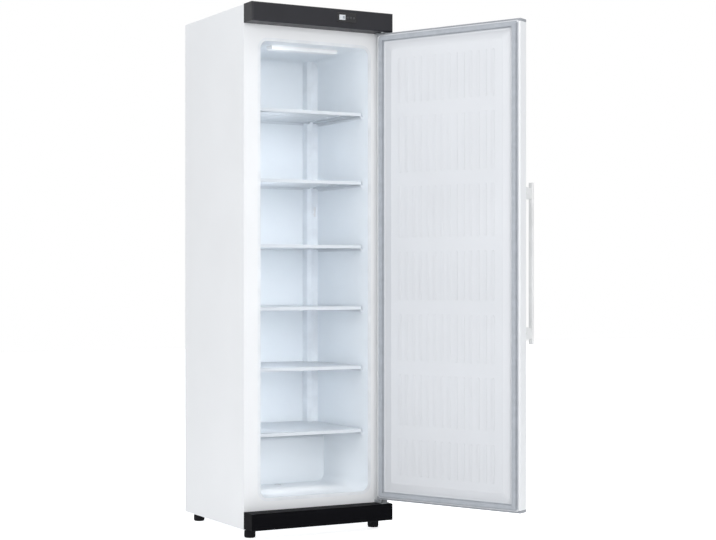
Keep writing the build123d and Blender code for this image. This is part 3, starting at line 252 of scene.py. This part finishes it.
def moulded(name, color, rough, depth=0.02 * MM, specular=0.5):
    """Injection-moulded plastic with a spark-eroded grain."""
    finish = Finish(name, color, rough, specular=specular)
    finish.soft_edges(radius=0.5 * MM)
    finish.relief(finish.noise(2200, roughness=0.6), depth, strength=0.7)
    finish.sheen_patches(finish.noise(30, detail=4), amount=0.06)
    return finish.tint(finish.noise(12, detail=4), scaled(color, 0.9))


def rubber(name, color):
    """Soft rubber or flexible PVC: dull, a little dusty, fine cross grain."""
    finish = Finish(name, color, rough=0.62, specular=0.35)
    finish.relief(finish.noise(1800, detail=4, roughness=0.7), depth=0.03 * MM, strength=0.7)
    finish.sheen_patches(finish.noise(25, detail=4), amount=0.08)
    finish.set("Sheen Weight", 0.12)
    return finish.tint(finish.noise(40, detail=5), scaled(color, 1.12))


def spangled(name, color):
    """Hot-dip galvanised sheet: crystals that differ in tone and gloss."""
    whole = (0.0, 1.0)
    finish = Finish(name, color, rough=0.46, metallic=0.85)
    crystals = finish.cells(85)
    tone = finish.nodes.new("ShaderNodeSeparateColor")
    finish.links.new(crystals.outputs["Color"], tone.inputs["Color"])
    gloss = finish.spread(tone.outputs["Red"], 0.36, 0.58, whole)
    finish.links.new(gloss, finish.shader.inputs["Roughness"])
    finish.tint(tone.outputs["Green"], scaled(color, 1.22), whole)
    finish.relief(crystals.outputs["Distance"], depth=0.02 * MM, strength=0.5)
    return finish.relief(finish.noise(900), depth=0.01 * MM, strength=0.5)


def plated(name, color, rough=0.35):
    """Zinc-plated steel: fine brushed grain and cloudy gloss."""
    brushed = (1.0, 1.0, 9.0)
    finish = Finish(name, color, rough, metallic=0.9)
    finish.soft_edges(radius=0.4 * MM)
    grain = finish.noise(260, detail=4, roughness=0.6, stretch=brushed)
    finish.relief(grain, depth=0.015 * MM, strength=0.6)
    finish.sheen_patches(finish.noise(60, detail=4), amount=0.06)
    return finish.tint(finish.noise(90, detail=4), scaled(color, 0.82))


def drawn_tube(name, color, dull):
    """Drawn tube: a fine drawn surface and patches of dull oxide."""
    finish = Finish(name, color, rough=0.40, metallic=1.0)
    finish.relief(finish.noise(700, roughness=0.6), depth=0.012 * MM, strength=0.6)
    finish.sheen_patches(finish.noise(55, detail=5), amount=0.11)
    return finish.tint(finish.noise(32, detail=5, roughness=0.65), dull)


def coated_black(name):
    """Black stoving enamel on steel, with the light dust that settles on it."""
    finish = Finish(name, BLACK, rough=0.42)
    finish.relief(finish.noise(650), depth=0.03 * MM, strength=0.7)
    finish.sheen_patches(finish.noise(22, detail=4), amount=0.1)
    finish.tint(finish.noise(18, detail=5), WORN_BLACK)
    return finish.dusty(0.55)


def expanded_foam(name):
    """Cut face of rigid foam: packed cells."""
    finish = Finish(name, FOAM, rough=0.9, specular=0.1)
    finish.relief(finish.cells(700).outputs["Distance"], depth=0.25 * MM, strength=0.8)
    return finish.tint(finish.noise(60, detail=5), scaled(FOAM, 0.8))


def milky_lens(name):
    """Milky cover with fine cross prisms, with a faint glow of painted light for the studio light
    it catches; the lamp behind it is not lit.
    """
    finish = Finish(name, LENS, rough=0.28)
    wave = finish.nodes.new("ShaderNodeTexWave")
    wave.bands_direction = "X"
    wave.inputs["Scale"].default_value = 90
    finish.links.new(finish.place, wave.inputs["Vector"])
    finish.relief(wave.outputs["Fac"], depth=0.25 * MM, strength=0.5)
    # Painted light: a faint glow on the cover, as the lamp behind it is not lit.
    finish.set("Emission Color", (*WHITE, 1.0))
    finish.set("Emission Strength", 0.07)
    return finish.tint(finish.noise(20), scaled(LENS, 0.96))


def lit_window(name):
    """Backlit display behind a smooth window."""
    finish = Finish(name, GLOW, rough=0.12)
    finish.set("Emission Color", (*GLOW, 1.0))
    finish.set("Emission Strength", 0.25)
    finish.relief(finish.noise(2600, detail=2), depth=0.004 * MM, strength=0.5)
    return finish.tint(finish.noise(160), scaled(GLOW, 0.9))


def gloss_black(name):
    """Polished black moulding of the controller, with hairlines."""
    hairlines = (0.05, 1.0, 1.0)
    finish = Finish(name, GLOSS_BLACK, rough=0.16)
    finish.soft_edges(radius=0.3 * MM)
    finish.relief(finish.noise(900, stretch=hairlines), depth=0.004 * MM, strength=0.5)
    return finish.sheen_patches(finish.noise(45, detail=4), amount=0.05)


def printed(name, color):
    """A printed or moulded mark; for the screws' recesses, a dark mark of painted shade."""
    finish = Finish(name, color, rough=0.5)
    finish.relief(finish.noise(3000, detail=2), depth=0.01 * MM, strength=0.5)
    return finish.tint(finish.noise(300), scaled(color, 0.85))


def make_finishes():
    """Every finish by name."""
    fine, coarse = 0.015 * MM, 0.03 * MM
    dull_aluminium = scaled(ALUMINIUM, 0.78)
    finishes = [
        enamel("cabinet enamel", ENAMEL),
        enamel("shelf enamel", SHELF, specular=0.25),
        enamel("shaded coil enamel", COIL_SHADED, specular=0.25),
        formed_sheet("liner", LINER),
        formed_sheet("shaded door liner", DOOR_LINER_SHADED),
        moulded("trim", TRIM, 0.42),
        moulded("white plastic", ENAMEL, 0.4, fine),
        moulded("cap grey", CAP_GREY, 0.45),
        moulded("duct plastic", LINER, 0.4, fine),
        moulded("fascia", FASCIA, 0.42, coarse, specular=0.28),
        moulded("plinth", scaled(BLACK, 0.6), 0.55, coarse, specular=0.03),
        moulded("black plastic", BLACK, 0.48, coarse).dusty(0.25),
        moulded("foot plastic", BLACK, 0.52, coarse, specular=0.12),
        moulded("handle", HANDLE, 0.36, 0.012 * MM),
        moulded("nylon", NYLON, 0.45),
        rubber("gasket", GASKET),
        rubber("soft grey", GREY_PLASTIC),
        rubber("black rubber", MOUNT_RUBBER),
        rubber("key rubber", WORN_BLACK),
        gloss_black("gloss black"),
        plated("bracket", ZINC),
        plated("steel", STEEL, 0.20),
        spangled("galvanised", GALVANISED),
        drawn_tube("aluminium", ALUMINIUM, dull_aluminium),
        drawn_tube("copper", COPPER, DULL_COPPER),
        coated_black("black enamel"),
        expanded_foam("foam"),
        milky_lens("lens"),
        lit_window("display"),
        printed("segment", SEGMENT),
        printed("marking", MARKING),
        # The screws' recesses: a dark mark of painted shade.
        printed("recess", RECESS_SHADE),
    ]
    return {finish.name: finish for finish in finishes}


NODE_FINISH = {
    "cabinet_wrap": "cabinet enamel",
    "front_rail": "cabinet enamel",
    "door_skin": "cabinet enamel",
    "back_panel": "galvanised",
    "base_pan": "galvanised",
    "insulation": "foam",
    "door_foam": "foam",
    "inner_liner": "liner",
    "shelf_rails": "liner",
    "door_liner": "shaded door liner",
    "liner_trim": "trim",
    "drain_tube": "white plastic",
    "drain_plug": "soft grey",
    "riser_pipes": "aluminium",
    "duct_covers": "duct plastic",
    "temperature_probe": "white plastic",
    "lamp_base": "white plastic",
    "lamp_lens": "lens",
    "fascia": "fascia",
    "controller_housing": "black plastic",
    "controller_bezel": "gloss black",
    "display_window": "display",
    "plinth": "plinth",
    "upper_hinge_bracket": "bracket",
    "lower_hinge_bracket": "bracket",
    "hinge_pins": "steel",
    "cabinet_screws": "steel",
    "compressor": "black enamel",
    "compressor_mounts": "black rubber",
    "relay_box": "black plastic",
    "filter_drier": "copper",
    "refrigerant_pipes": "copper",
    "condenser_tube": "black enamel",
    "condenser_wires": "black enamel",
    "condenser_clips": "black plastic",
    "mains_inlet": "black plastic",
    "door_caps": "cap grey",
    "door_gasket": "gasket",
    "hinge_bushes": "nylon",
    "handle_bar": "handle",
    "handle_posts": "handle",
    "key_down": "key rubber",
    "key_up": "key rubber",
    "key_set": "key rubber",
}
NUMBERED_FINISH = {
    "shelf_": "shelf enamel",
    "evaporator_coil_": "shaded coil enamel",
    "foot_": "foot plastic",
}


def dress_nodes(finishes):
    """Gives every piece of the part its finish."""
    for node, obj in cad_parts.items():
        name = NODE_FINISH.get(node)
        for start, shared in NUMBERED_FINISH.items():
            if node.startswith(start):
                name = shared
        material = finishes[name].material
        if not obj.material_slots:
            obj.data.materials.append(material)
        for slot in obj.material_slots:
            slot.material = material


# ---- Mesh helpers -------------------------------------------------------------------------------
def place_object(name, data):
    """A new object in the scene."""
    obj = bpy.data.objects.new(name, data)
    bpy.context.scene.collection.objects.link(obj)
    return obj


def piece(name, mesh_builder, body, finish, smooth=False):
    """A new mesh object, built in place and fixed to a body."""
    mesh = bpy.data.meshes.new(name)
    bm = bmesh.new()
    mesh_builder(bm)
    bmesh.ops.recalc_face_normals(bm, faces=bm.faces)
    bm.to_mesh(mesh)
    bm.free()
    for polygon in mesh.polygons:
        polygon.use_smooth = smooth
    mesh.materials.append(finish.material)
    obj = place_object(name, mesh)
    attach(obj, body)


def add_prism(bm, outline, offset):
    """A closed prism: an outline of points in space, pushed along a vector."""
    low = [bm.verts.new(Vector(point)) for point in outline]
    high = [bm.verts.new(Vector(point) + Vector(offset)) for point in outline]
    bm.faces.new(low)
    bm.faces.new(high[::-1])
    for i in range(len(outline)):
        j = (i + 1) % len(outline)
        bm.faces.new((low[i], low[j], high[j], high[i]))


def add_sweep(bm, path, profile, closed=True):
    """A profile of (out, up) pairs carried round a path of (point, outward, upward) stations."""
    rings = []
    for point, outward, upward in path:
        rings.append([bm.verts.new(point + outward * a + upward * b) for a, b in profile])
    count = len(profile)
    last = len(rings) if closed else len(rings) - 1
    for i in range(last):
        here, there = rings[i], rings[(i + 1) % len(rings)]
        for k in range(count):
            m = (k + 1) % count
            bm.faces.new((here[k], here[m], there[m], there[k]))
    if not closed:
        bm.faces.new(rings[0])
        bm.faces.new(rings[-1][::-1])


def circle(radius, sides, middle=(0.0, 0.0)):
    """Points round a circle, anticlockwise from the first axis."""
    steps = [2 * math.pi * k / sides for k in range(sides)]
    x, y = middle
    return [(x + radius * math.cos(a), y + radius * math.sin(a)) for a in steps]


def door_turn(direction):
    """A direction on the shut door, turned as the door stands."""
    return Matrix.Rotation(DOOR_OPEN, 3, "Z") @ Vector(direction)


def door_place(point):
    """Where a point of the shut door is while the door stands open."""
    return HINGE + door_turn(Vector(point) - HINGE)


# ---- Controller ---------------------------------------------------------------------------------
SEGMENTS = {  # (column, row) of each bar's two ends
    "top": ((0, 2), (1, 2)),
    "upper left": ((0, 1), (0, 2)),
    "upper right": ((1, 1), (1, 2)),
    "middle": ((0, 1), (1, 1)),
    "lower left": ((0, 0), (0, 1)),
    "lower right": ((1, 0), (1, 1)),
    "bottom": ((0, 0), (1, 0)),
}
DIGITS = {
    "-": ("middle",),
    "1": ("upper right", "lower right"),
    "8": tuple(SEGMENTS),
}
READING = "-18"
DIGIT_WIDTH = 4.6 * MM
DIGIT_HALF = 4.8 * MM  # half its height
DIGIT_STEP = 7.4 * MM
SEGMENT_WIDTH = 1.5 * MM
SEGMENT_THICK = 0.15 * MM
SEGMENT_GAP = 0.12  # share of its width, at each end
SEGMENT_POINT = 0.5


def add_segment(bm, start, end, front):
    """One bar of a seven-segment digit, pointed at both ends."""
    a, b = Vector(start), Vector(end)
    along = (b - a).normalized()
    across = Vector((-along.y, along.x)) * (SEGMENT_WIDTH / 2)
    gap = along * (SEGMENT_WIDTH * SEGMENT_GAP)
    taper = along * (SEGMENT_WIDTH * SEGMENT_POINT)
    a, b = a + gap, b - gap
    flat = [a, a + taper + across, b - taper + across, b, b - taper - across, a + taper - across]
    add_prism(bm, [(p.x, front, p.y) for p in flat], (0, -SEGMENT_THICK, 0))


def make_reading(finishes):
    """The temperature shown in the display."""
    low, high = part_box("display_window")
    middle = (low + high) / 2

    def corner(place, column, row):
        left = middle.x + (place - 1) * DIGIT_STEP - DIGIT_WIDTH / 2
        return left + column * DIGIT_WIDTH, middle.z + (row - 1) * DIGIT_HALF

    def build(bm):
        for place, sign in enumerate(READING):
            for name in DIGITS[sign]:
                start, end = [corner(place, column, row) for column, row in SEGMENTS[name]]
                add_segment(bm, start, end, low.y)

    piece("display_reading", build, "cabinet", finishes["segment"])


MARK_SIZE = 2.2 * MM
MARK_THICK = 0.12 * MM
MARK_OUTLINES = {  # in mark sizes, round the key's middle
    "key_up": [(0, 1), (-1, -0.8), (1, -0.8)],
    "key_down": [(0, -1), (1, 0.8), (-1, 0.8)],
    "key_set": [(-0.75, -0.75), (0.75, -0.75), (0.75, 0.75), (-0.75, 0.75)],
}


def make_key_marks(finishes):
    """A triangle up, a triangle down and a square on the keys."""
    for key, outline in MARK_OUTLINES.items():
        low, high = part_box(key)
        middle = (low + high) / 2
        points = [(middle.x + MARK_SIZE * a, low.y, middle.z + MARK_SIZE * b) for a, b in outline]

        def build(bm, points=points):
            add_prism(bm, points, (0, -MARK_THICK, 0))

        piece(key + "_mark", build, key, finishes["marking"])


# ---- Corner duct --------------------------------------------------------------------------------
def shelf_boxes():
    """The boxes of the shelves, lowest first."""
    return [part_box(f"shelf_{number}") for number in range(1, SHELVES + 1)]


COLLAR_CHAMFER = 13 * MM
COLLAR_INSET = 0.6 * MM  # within the duct's faces
COLLAR_OVERLAP = 1.5 * MM  # past the shelf, above and below it


def make_duct_collars(finishes):
    """Grommets that close the corner duct where each shelf's coil passes into it."""
    low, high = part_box("duct_covers")
    x0, y0 = low.x + COLLAR_INSET, low.y + COLLAR_INSET
    x1, y1 = high.x - COLLAR_INSET, high.y - COLLAR_INSET
    corner = [(x0, y0 + COLLAR_CHAMFER), (x0 + COLLAR_CHAMFER, y0)]
    plan = [(x0, y1), *corner, (x1, y0), (x1, y1)]

    def build(bm):
        for shelf_low, shelf_high in shelf_boxes():
            bottom = shelf_low.z - COLLAR_OVERLAP
            rise = shelf_high.z + COLLAR_OVERLAP - bottom
            add_prism(bm, [(x, y, bottom) for x, y in plan], (0, 0, rise))

    piece("duct_collars", build, "cabinet", finishes["duct plastic"])


# ---- Feet ---------------------------------------------------------------------------------------
GRIP_RIBS = 24
GRIP_RADIUS = 1.3 * MM
GRIP_SINK = 0.2 * MM  # into the knob
GRIP_LOW = 5 * MM
GRIP_HIGH = 22 * MM
GRIP_STEPS = 8


def make_foot_grips(finishes):
    """Half-round ribs round each foot's knob, to turn it by hand."""
    for corner in FEET:
        low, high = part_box("foot_" + corner)
        centre = (low + high) / 2
        face = (high.x - low.x) / 2 - GRIP_SINK

        def build(bm, centre=centre, face=face):
            for out_x, out_y in circle(1.0, GRIP_RIBS):
                outline = []
                for k in range(GRIP_STEPS):
                    a = math.pi * k / (GRIP_STEPS - 1)
                    reach = face + GRIP_RADIUS * math.sin(a)
                    side = GRIP_RADIUS * math.cos(a)
                    x = centre.x + out_x * reach - out_y * side
                    y = centre.y + out_y * reach + out_x * side
                    outline.append((x, y, GRIP_LOW))
                add_prism(bm, outline, (0, 0, GRIP_HIGH - GRIP_LOW))

        piece("foot_grip_" + corner, build, "foot_" + corner, finishes["foot plastic"])


# ---- Gasket -------------------------------------------------------------------------------------
GASKET_HALF = 0.290  # half its width
GASKET_WAIST = -6.45 * MM  # the waist's middle, in Y with the door shut
PLEAT_MARGINS = {"outer": 5 * MM, "inner": 16 * MM}  # from the gasket's outer edge
PLEAT_RADIUS = 1.9 * MM
PLEAT_SIDES = 10


def make_gasket_pleats(finishes):
    """The bellows fold that fills the gasket's waist, on its outer and its inner side."""
    low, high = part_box("door_gasket")
    profile = circle(PLEAT_RADIUS, PLEAT_SIDES)
    inward = door_turn((0, 1, 0))
    for name, margin in PLEAT_MARGINS.items():
        half = GASKET_HALF - margin
        base, top = low.z + margin, high.z - margin
        path = []
        for side, rise, level in ((-1, -1, base), (1, -1, base), (1, 1, top), (-1, 1, top)):
            corner = door_place((side * half, GASKET_WAIST, level))
            path.append((corner, door_turn((side, 0, rise)), inward))

        def build(bm, path=path):
            add_sweep(bm, path, profile)

        piece("gasket_pleat_" + name, build, "door", finishes["gasket"], smooth=True)


# ---- Handle -------------------------------------------------------------------------------------
POST_X = -0.288
POST_LEVELS = (0.752, 1.258)
POST_BACK = -0.064  # just inside the door's face
POST_FRONT = -0.116  # 1 mm short of the bar's back
SLEEVE_AT_DOOR = (8.0 * MM, 24.0 * MM)  # half width, half height
SLEEVE_AT_BAR = (6.5 * MM, 20.5 * MM)
SLEEVE_SIDES = 24
SLEEVE_POWER = 0.45  # 1 is an ellipse, and less is squarer


def squared(value):
    """Pushes a sine or cosine out, towards a square."""
    return math.copysign(abs(value) ** SLEEVE_POWER, value)


def make_post_sleeves(finishes):
    """Tapered sleeves over the handle's posts, taller than they are wide."""
    steps = [2 * math.pi * (k + 0.5) / SLEEVE_SIDES for k in range(SLEEVE_SIDES)]
    profile = [(squared(math.cos(a)), squared(math.sin(a))) for a in steps]

    def build(bm):
        for level in POST_LEVELS:
            path = []
            for y, (wide, high) in ((POST_BACK, SLEEVE_AT_DOOR), (POST_FRONT, SLEEVE_AT_BAR)):
                place = door_place((POST_X, y, level))
                path.append((place, door_turn((wide, 0, 0)), door_turn((0, 0, high))))
            add_sweep(bm, path, profile, closed=False)

    piece("handle_sleeves", build, "door", finishes["handle"])


# ---- Back ---------------------------------------------------------------------------------------
BACK_FACE = 0.514  # the back panel's outer face
BEAD_COLUMNS = 5
BEAD_PITCH = 0.1
BEAD_HALF = 7 * MM
BEAD_RISE = 2.4 * MM
BEAD_SINK = 0.3 * MM  # into the sheet
BEAD_LOW = 0.36
BEAD_HIGH = 1.88
BEAD_END = 18 * MM  # length of the run-out
BEAD_RUN_OUT = ((0.0, 0.05), (0.5, 0.7), (1.0, 1.0))  # share of that length, share of the rise
BEAD_TIP = 0.4  # share of the width at no rise
BEAD_SIDES = 9


def bead_stations():
    """Levels up a bead, each with its share of the full rise."""
    low = [(BEAD_LOW + BEAD_END * along, share) for along, share in BEAD_RUN_OUT]
    high = [(BEAD_HIGH - BEAD_END * along, share) for along, share in BEAD_RUN_OUT]
    return low + high[::-1]


def bead_profile():
    """One wave of a cosine, closed behind the sheet's face."""
    profile = []
    for k in range(BEAD_SIDES):
        share = 2 * k / (BEAD_SIDES - 1) - 1
        profile.append((share * BEAD_HALF, (1 + math.cos(math.pi * share)) / 2 * BEAD_RISE))
    return profile + [(BEAD_HALF, -BEAD_SINK), (-BEAD_HALF, -BEAD_SINK)]


def make_back_beads(finishes):
    """Pressed stiffening beads that run up the back panel, run out softly at both ends."""

    def build(bm):
        for column in range(BEAD_COLUMNS):
            x = (column - (BEAD_COLUMNS - 1) / 2) * BEAD_PITCH
            path = []
            for level, share in bead_stations():
                width = BEAD_TIP + (1 - BEAD_TIP) * share
                place = Vector((x, BACK_FACE, level))
                path.append((place, Vector((width, 0, 0)), Vector((0, share, 0))))
            add_sweep(bm, path, bead_profile(), closed=False)

    finish = finishes["galvanised"]
    piece("back_panel_beads", build, "cabinet", finish, smooth=True)


SCREW_COLUMNS = (-0.292, 0.292)
SCREW_LOW = 0.3165
SCREW_HIGH = 1.935
SCREW_ROWS = 5
SCREW_FACE = 0.517  # the heads' outer faces
CROSS_REACH = 2.6 * MM
CROSS_HALF = 0.45 * MM  # half an arm's width
CROSS_THICK = 0.1 * MM
CROSS_TURN = (0.7, 3.0)  # radians for each row, and for each metre to the right


def make_screw_recess_shades(finishes):
    """Thin dark crosses on the heads of the back panel's screws: painted shade of their cross
    recesses.
    """
    r, w = CROSS_REACH, CROSS_HALF
    star = [(w, w), (w, r), (-w, r), (-w, w), (-r, w), (-r, -w)]
    star += [(-w, -w), (-w, -r), (w, -r), (w, -w), (r, -w), (r, w)]

    def build(bm):
        for x in SCREW_COLUMNS:
            for row in range(SCREW_ROWS):
                z = SCREW_LOW + (SCREW_HIGH - SCREW_LOW) * row / (SCREW_ROWS - 1)
                turn = CROSS_TURN[0] * row + CROSS_TURN[1] * x
                c, s = math.cos(turn), math.sin(turn)
                outline = [(x + a * c - b * s, SCREW_FACE, z + a * s + b * c) for a, b in star]
                add_prism(bm, outline, (0, CROSS_THICK, 0))

    piece("screw_recess_shades", build, "cabinet", finishes["recess"])


MOUNT_INSET = 11 * MM  # a mount's middle from the edge of the four
MOUNT_PLATE = 3 * MM  # the compressor's foot plate, which lies on the mounts
BOLT_SHAPES = (  # sides, radius, height: the washer, and the head on it
    (24, 7.5 * MM, 1.2 * MM),
    (6, 5 * MM, 4.5 * MM),
)


def make_mount_bolts(finishes):
    """A washer and a hexagon head over each rubber mount of the compressor."""
    low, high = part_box("compressor_mounts")
    columns = (low.x + MOUNT_INSET, high.x - MOUNT_INSET)
    rows = (low.y + MOUNT_INSET, high.y - MOUNT_INSET)

    def build(bm):
        for middle in [(x, y) for x in columns for y in rows]:
            base = high.z + MOUNT_PLATE
            for sides, radius, height in BOLT_SHAPES:
                outline = [(x, y, base) for x, y in circle(radius, sides, middle)]
                add_prism(bm, outline, (0, 0, height))
                base += height

    piece("compressor_bolts", build, "cabinet", finishes["steel"])


# ---- Stage --------------------------------------------------------------------------------------
FLOOR = (0.93, 0.93, 0.93)
FLOOR_DULL = (0.915, 0.915, 0.915)
FLOOR_HALF = 14.0
FLOOR_GLOW = 0.74  # plain white added to what is seen of the floor, which thins its shadows


def seen_directly(nodes, links):
    """One for rays that show a surface: from the camera, or by way of gloss or glass."""
    path = nodes.new("ShaderNodeLightPath")
    value = path.outputs["Is Camera Ray"]
    for name in ("Is Glossy Ray", "Is Transmission Ray"):
        either = nodes.new("ShaderNodeMath")
        either.operation = "MAXIMUM"
        links.new(value, either.inputs[0])
        links.new(path.outputs[name], either.inputs[1])
        value = either.outputs["Value"]
    return value


def make_floor():
    """A plain white studio floor; its shadows are thinned, as on a lit table."""
    finish = Finish("floor", FLOOR, rough=0.75, specular=0.2)
    finish.relief(finish.noise(40, detail=4), depth=0.05 * MM, strength=0.3)
    finish.tint(finish.noise(1.2), FLOOR_DULL)
    nodes, links = finish.nodes, finish.links
    glow = nodes.new("ShaderNodeEmission")
    glow.inputs["Color"].default_value = (*WHITE, 1.0)
    strength = nodes.new("ShaderNodeMath")
    strength.operation = "MULTIPLY"
    strength.inputs[1].default_value = FLOOR_GLOW
    links.new(seen_directly(nodes, links), strength.inputs[0])
    links.new(strength.outputs["Value"], glow.inputs["Strength"])
    both = nodes.new("ShaderNodeAddShader")
    links.new(finish.shader.outputs["BSDF"], both.inputs[0])
    links.new(glow.outputs["Emission"], both.inputs[1])
    links.new(both.outputs["Shader"], nodes["Material Output"].inputs["Surface"])
    mesh = bpy.data.meshes.new("floor")
    r = FLOOR_HALF
    mesh.from_pydata([(-r, -r, 0), (r, -r, 0), (r, r, 0), (-r, r, 0)], [], [(0, 1, 2, 3)])
    mesh.materials.append(finish.material)
    floor = place_object("floor", mesh)


FULL_SPREAD = math.pi


def add_lamp(name, place, target, size, power, color=WHITE, spread=FULL_SPREAD):
    """A soft box of a width and a height that looks at a point."""
    data = bpy.data.lights.new(name, "AREA")
    data.shape = "RECTANGLE"
    data.size, data.size_y = size
    data.energy = power
    data.color = color
    data.spread = spread
    lamp = place_object(name, data)
    lamp.location = place
    look = Vector(target) - Vector(place)
    lamp.rotation_euler = look.to_track_quat("-Z", "Y").to_euler()


ROOM_COLOR = (0.905, 0.945, 1.0)
ROOM_STRENGTH = 0.50
STUDIO_LAMPS = {  # place, target, side of its square, power
    "front": ((-1.2, -5.3, 2.2), (0.05, 0.1, 1.0), 2.6, 98),
    "left": ((-4.6, -1.6, 2.2), (-0.2, 0.1, 1.0), 2.4, 56),
    "overhead": ((0.2, -0.4, 5.2), (0.2, -0.4, 0.0), 5.0, 105),
}
FILL_POWER = 0.25
FILL_LOW_POWER = 0.085  # in the lowest compartment
FILL_TOP_POWER = 0.13  # in the highest one
FILL_WIDTH = 0.04
FILL_SHARE = 0.45  # of a compartment's height
FILL_PLACE = (-0.165, 0.016)  # at the left of the mouth
FILL_AIM = (0.45, 0.90)  # to the right and back
FILL_SPREAD = math.radians(115)
GROUND_POWER = 0.09  # of the lamp over the lowest compartment's floor
GROUND_COLOR = (1.0, 0.93, 0.86)
GROUND_SIZE = (0.38, 0.12)
GROUND_PLACE = (0.0, 0.15)
GROUND_DROP = 0.03  # under the lowest shelf
GROUND_SPREAD = math.radians(80)


def make_room():
    """A pale room, which a ray that looks straight at it sees as white."""
    world = bpy.data.worlds.new("studio")
    bpy.context.scene.world = world
    world.use_nodes = True
    nodes, links = world.node_tree.nodes, world.node_tree.links
    background = nodes["Background"]
    background.inputs["Color"].default_value = (*ROOM_COLOR, 1.0)
    background.inputs["Strength"].default_value = ROOM_STRENGTH
    white = nodes.new("ShaderNodeBackground")
    white.inputs["Color"].default_value = (*WHITE, 1.0)
    white.inputs["Strength"].default_value = 1.0
    mix = nodes.new("ShaderNodeMixShader")
    links.new(seen_directly(nodes, links), mix.inputs["Fac"])
    links.new(background.outputs["Background"], mix.inputs[1])
    links.new(white.outputs["Background"], mix.inputs[2])
    links.new(mix.outputs["Shader"], nodes["World Output"].inputs["Surface"])


def make_lamps():
    """Wide soft boxes round the freezer: in front, to its left and overhead."""
    for name, (place, target, side, power) in STUDIO_LAMPS.items():
        add_lamp(name, place, target, (side, side), power)


def make_fill():
    """A small soft lamp inside each compartment, and one more over the lowest one's floor."""
    low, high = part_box("inner_liner")
    floors = [low.z] + [top.z for _, top in shelf_boxes()]
    ceilings = [base.z for base, _ in shelf_boxes()] + [high.z]
    powers = [FILL_LOW_POWER] + [FILL_POWER] * (SHELVES - 1) + [FILL_TOP_POWER]
    x, y = FILL_PLACE
    for floor, ceiling, power in zip(floors, ceilings, powers):
        level = (floor + ceiling) / 2
        size = (FILL_WIDTH, FILL_SHARE * (ceiling - floor))
        target = (x + FILL_AIM[0], y + FILL_AIM[1], level)
        add_lamp("fill", (x, y, level), target, size, power, ROOM_COLOR, FILL_SPREAD)
    above = (*GROUND_PLACE, ceilings[0] - GROUND_DROP)
    below = (*GROUND_PLACE, low.z)
    add_lamp("ground", above, below, GROUND_SIZE, GROUND_POWER, GROUND_COLOR, GROUND_SPREAD)


def make_camera():
    """The photograph's own view."""
    data = bpy.data.cameras.new("photograph")
    data.sensor_width = SENSOR
    data.lens = FOCAL_PIXELS / IMAGE_WIDTH * SENSOR
    data.shift_x = (IMAGE_WIDTH / 2 - PRINCIPAL_X) / IMAGE_WIDTH
    data.shift_y = (PRINCIPAL_Y - IMAGE_HEIGHT / 2) / IMAGE_WIDTH
    camera = place_object("photograph", data)
    camera.location = CAMERA_PLACE
    camera.rotation_euler = (math.pi / 2, 0, CAMERA_YAW)
    bpy.context.scene.camera = camera
    bpy.context.scene.view_settings.view_transform = "Standard"


# ---- Everything ---------------------------------------------------------------------------------
make_camera()
make_room()
make_lamps()
make_fill()
make_floor()
all_finishes = make_finishes()
dress_nodes(all_finishes)
make_reading(all_finishes)
make_key_marks(all_finishes)
make_duct_collars(all_finishes)
make_foot_grips(all_finishes)
make_gasket_pleats(all_finishes)
make_post_sleeves(all_finishes)
make_back_beads(all_finishes)
make_screw_recess_shades(all_finishes)
make_mount_bolts(all_finishes)
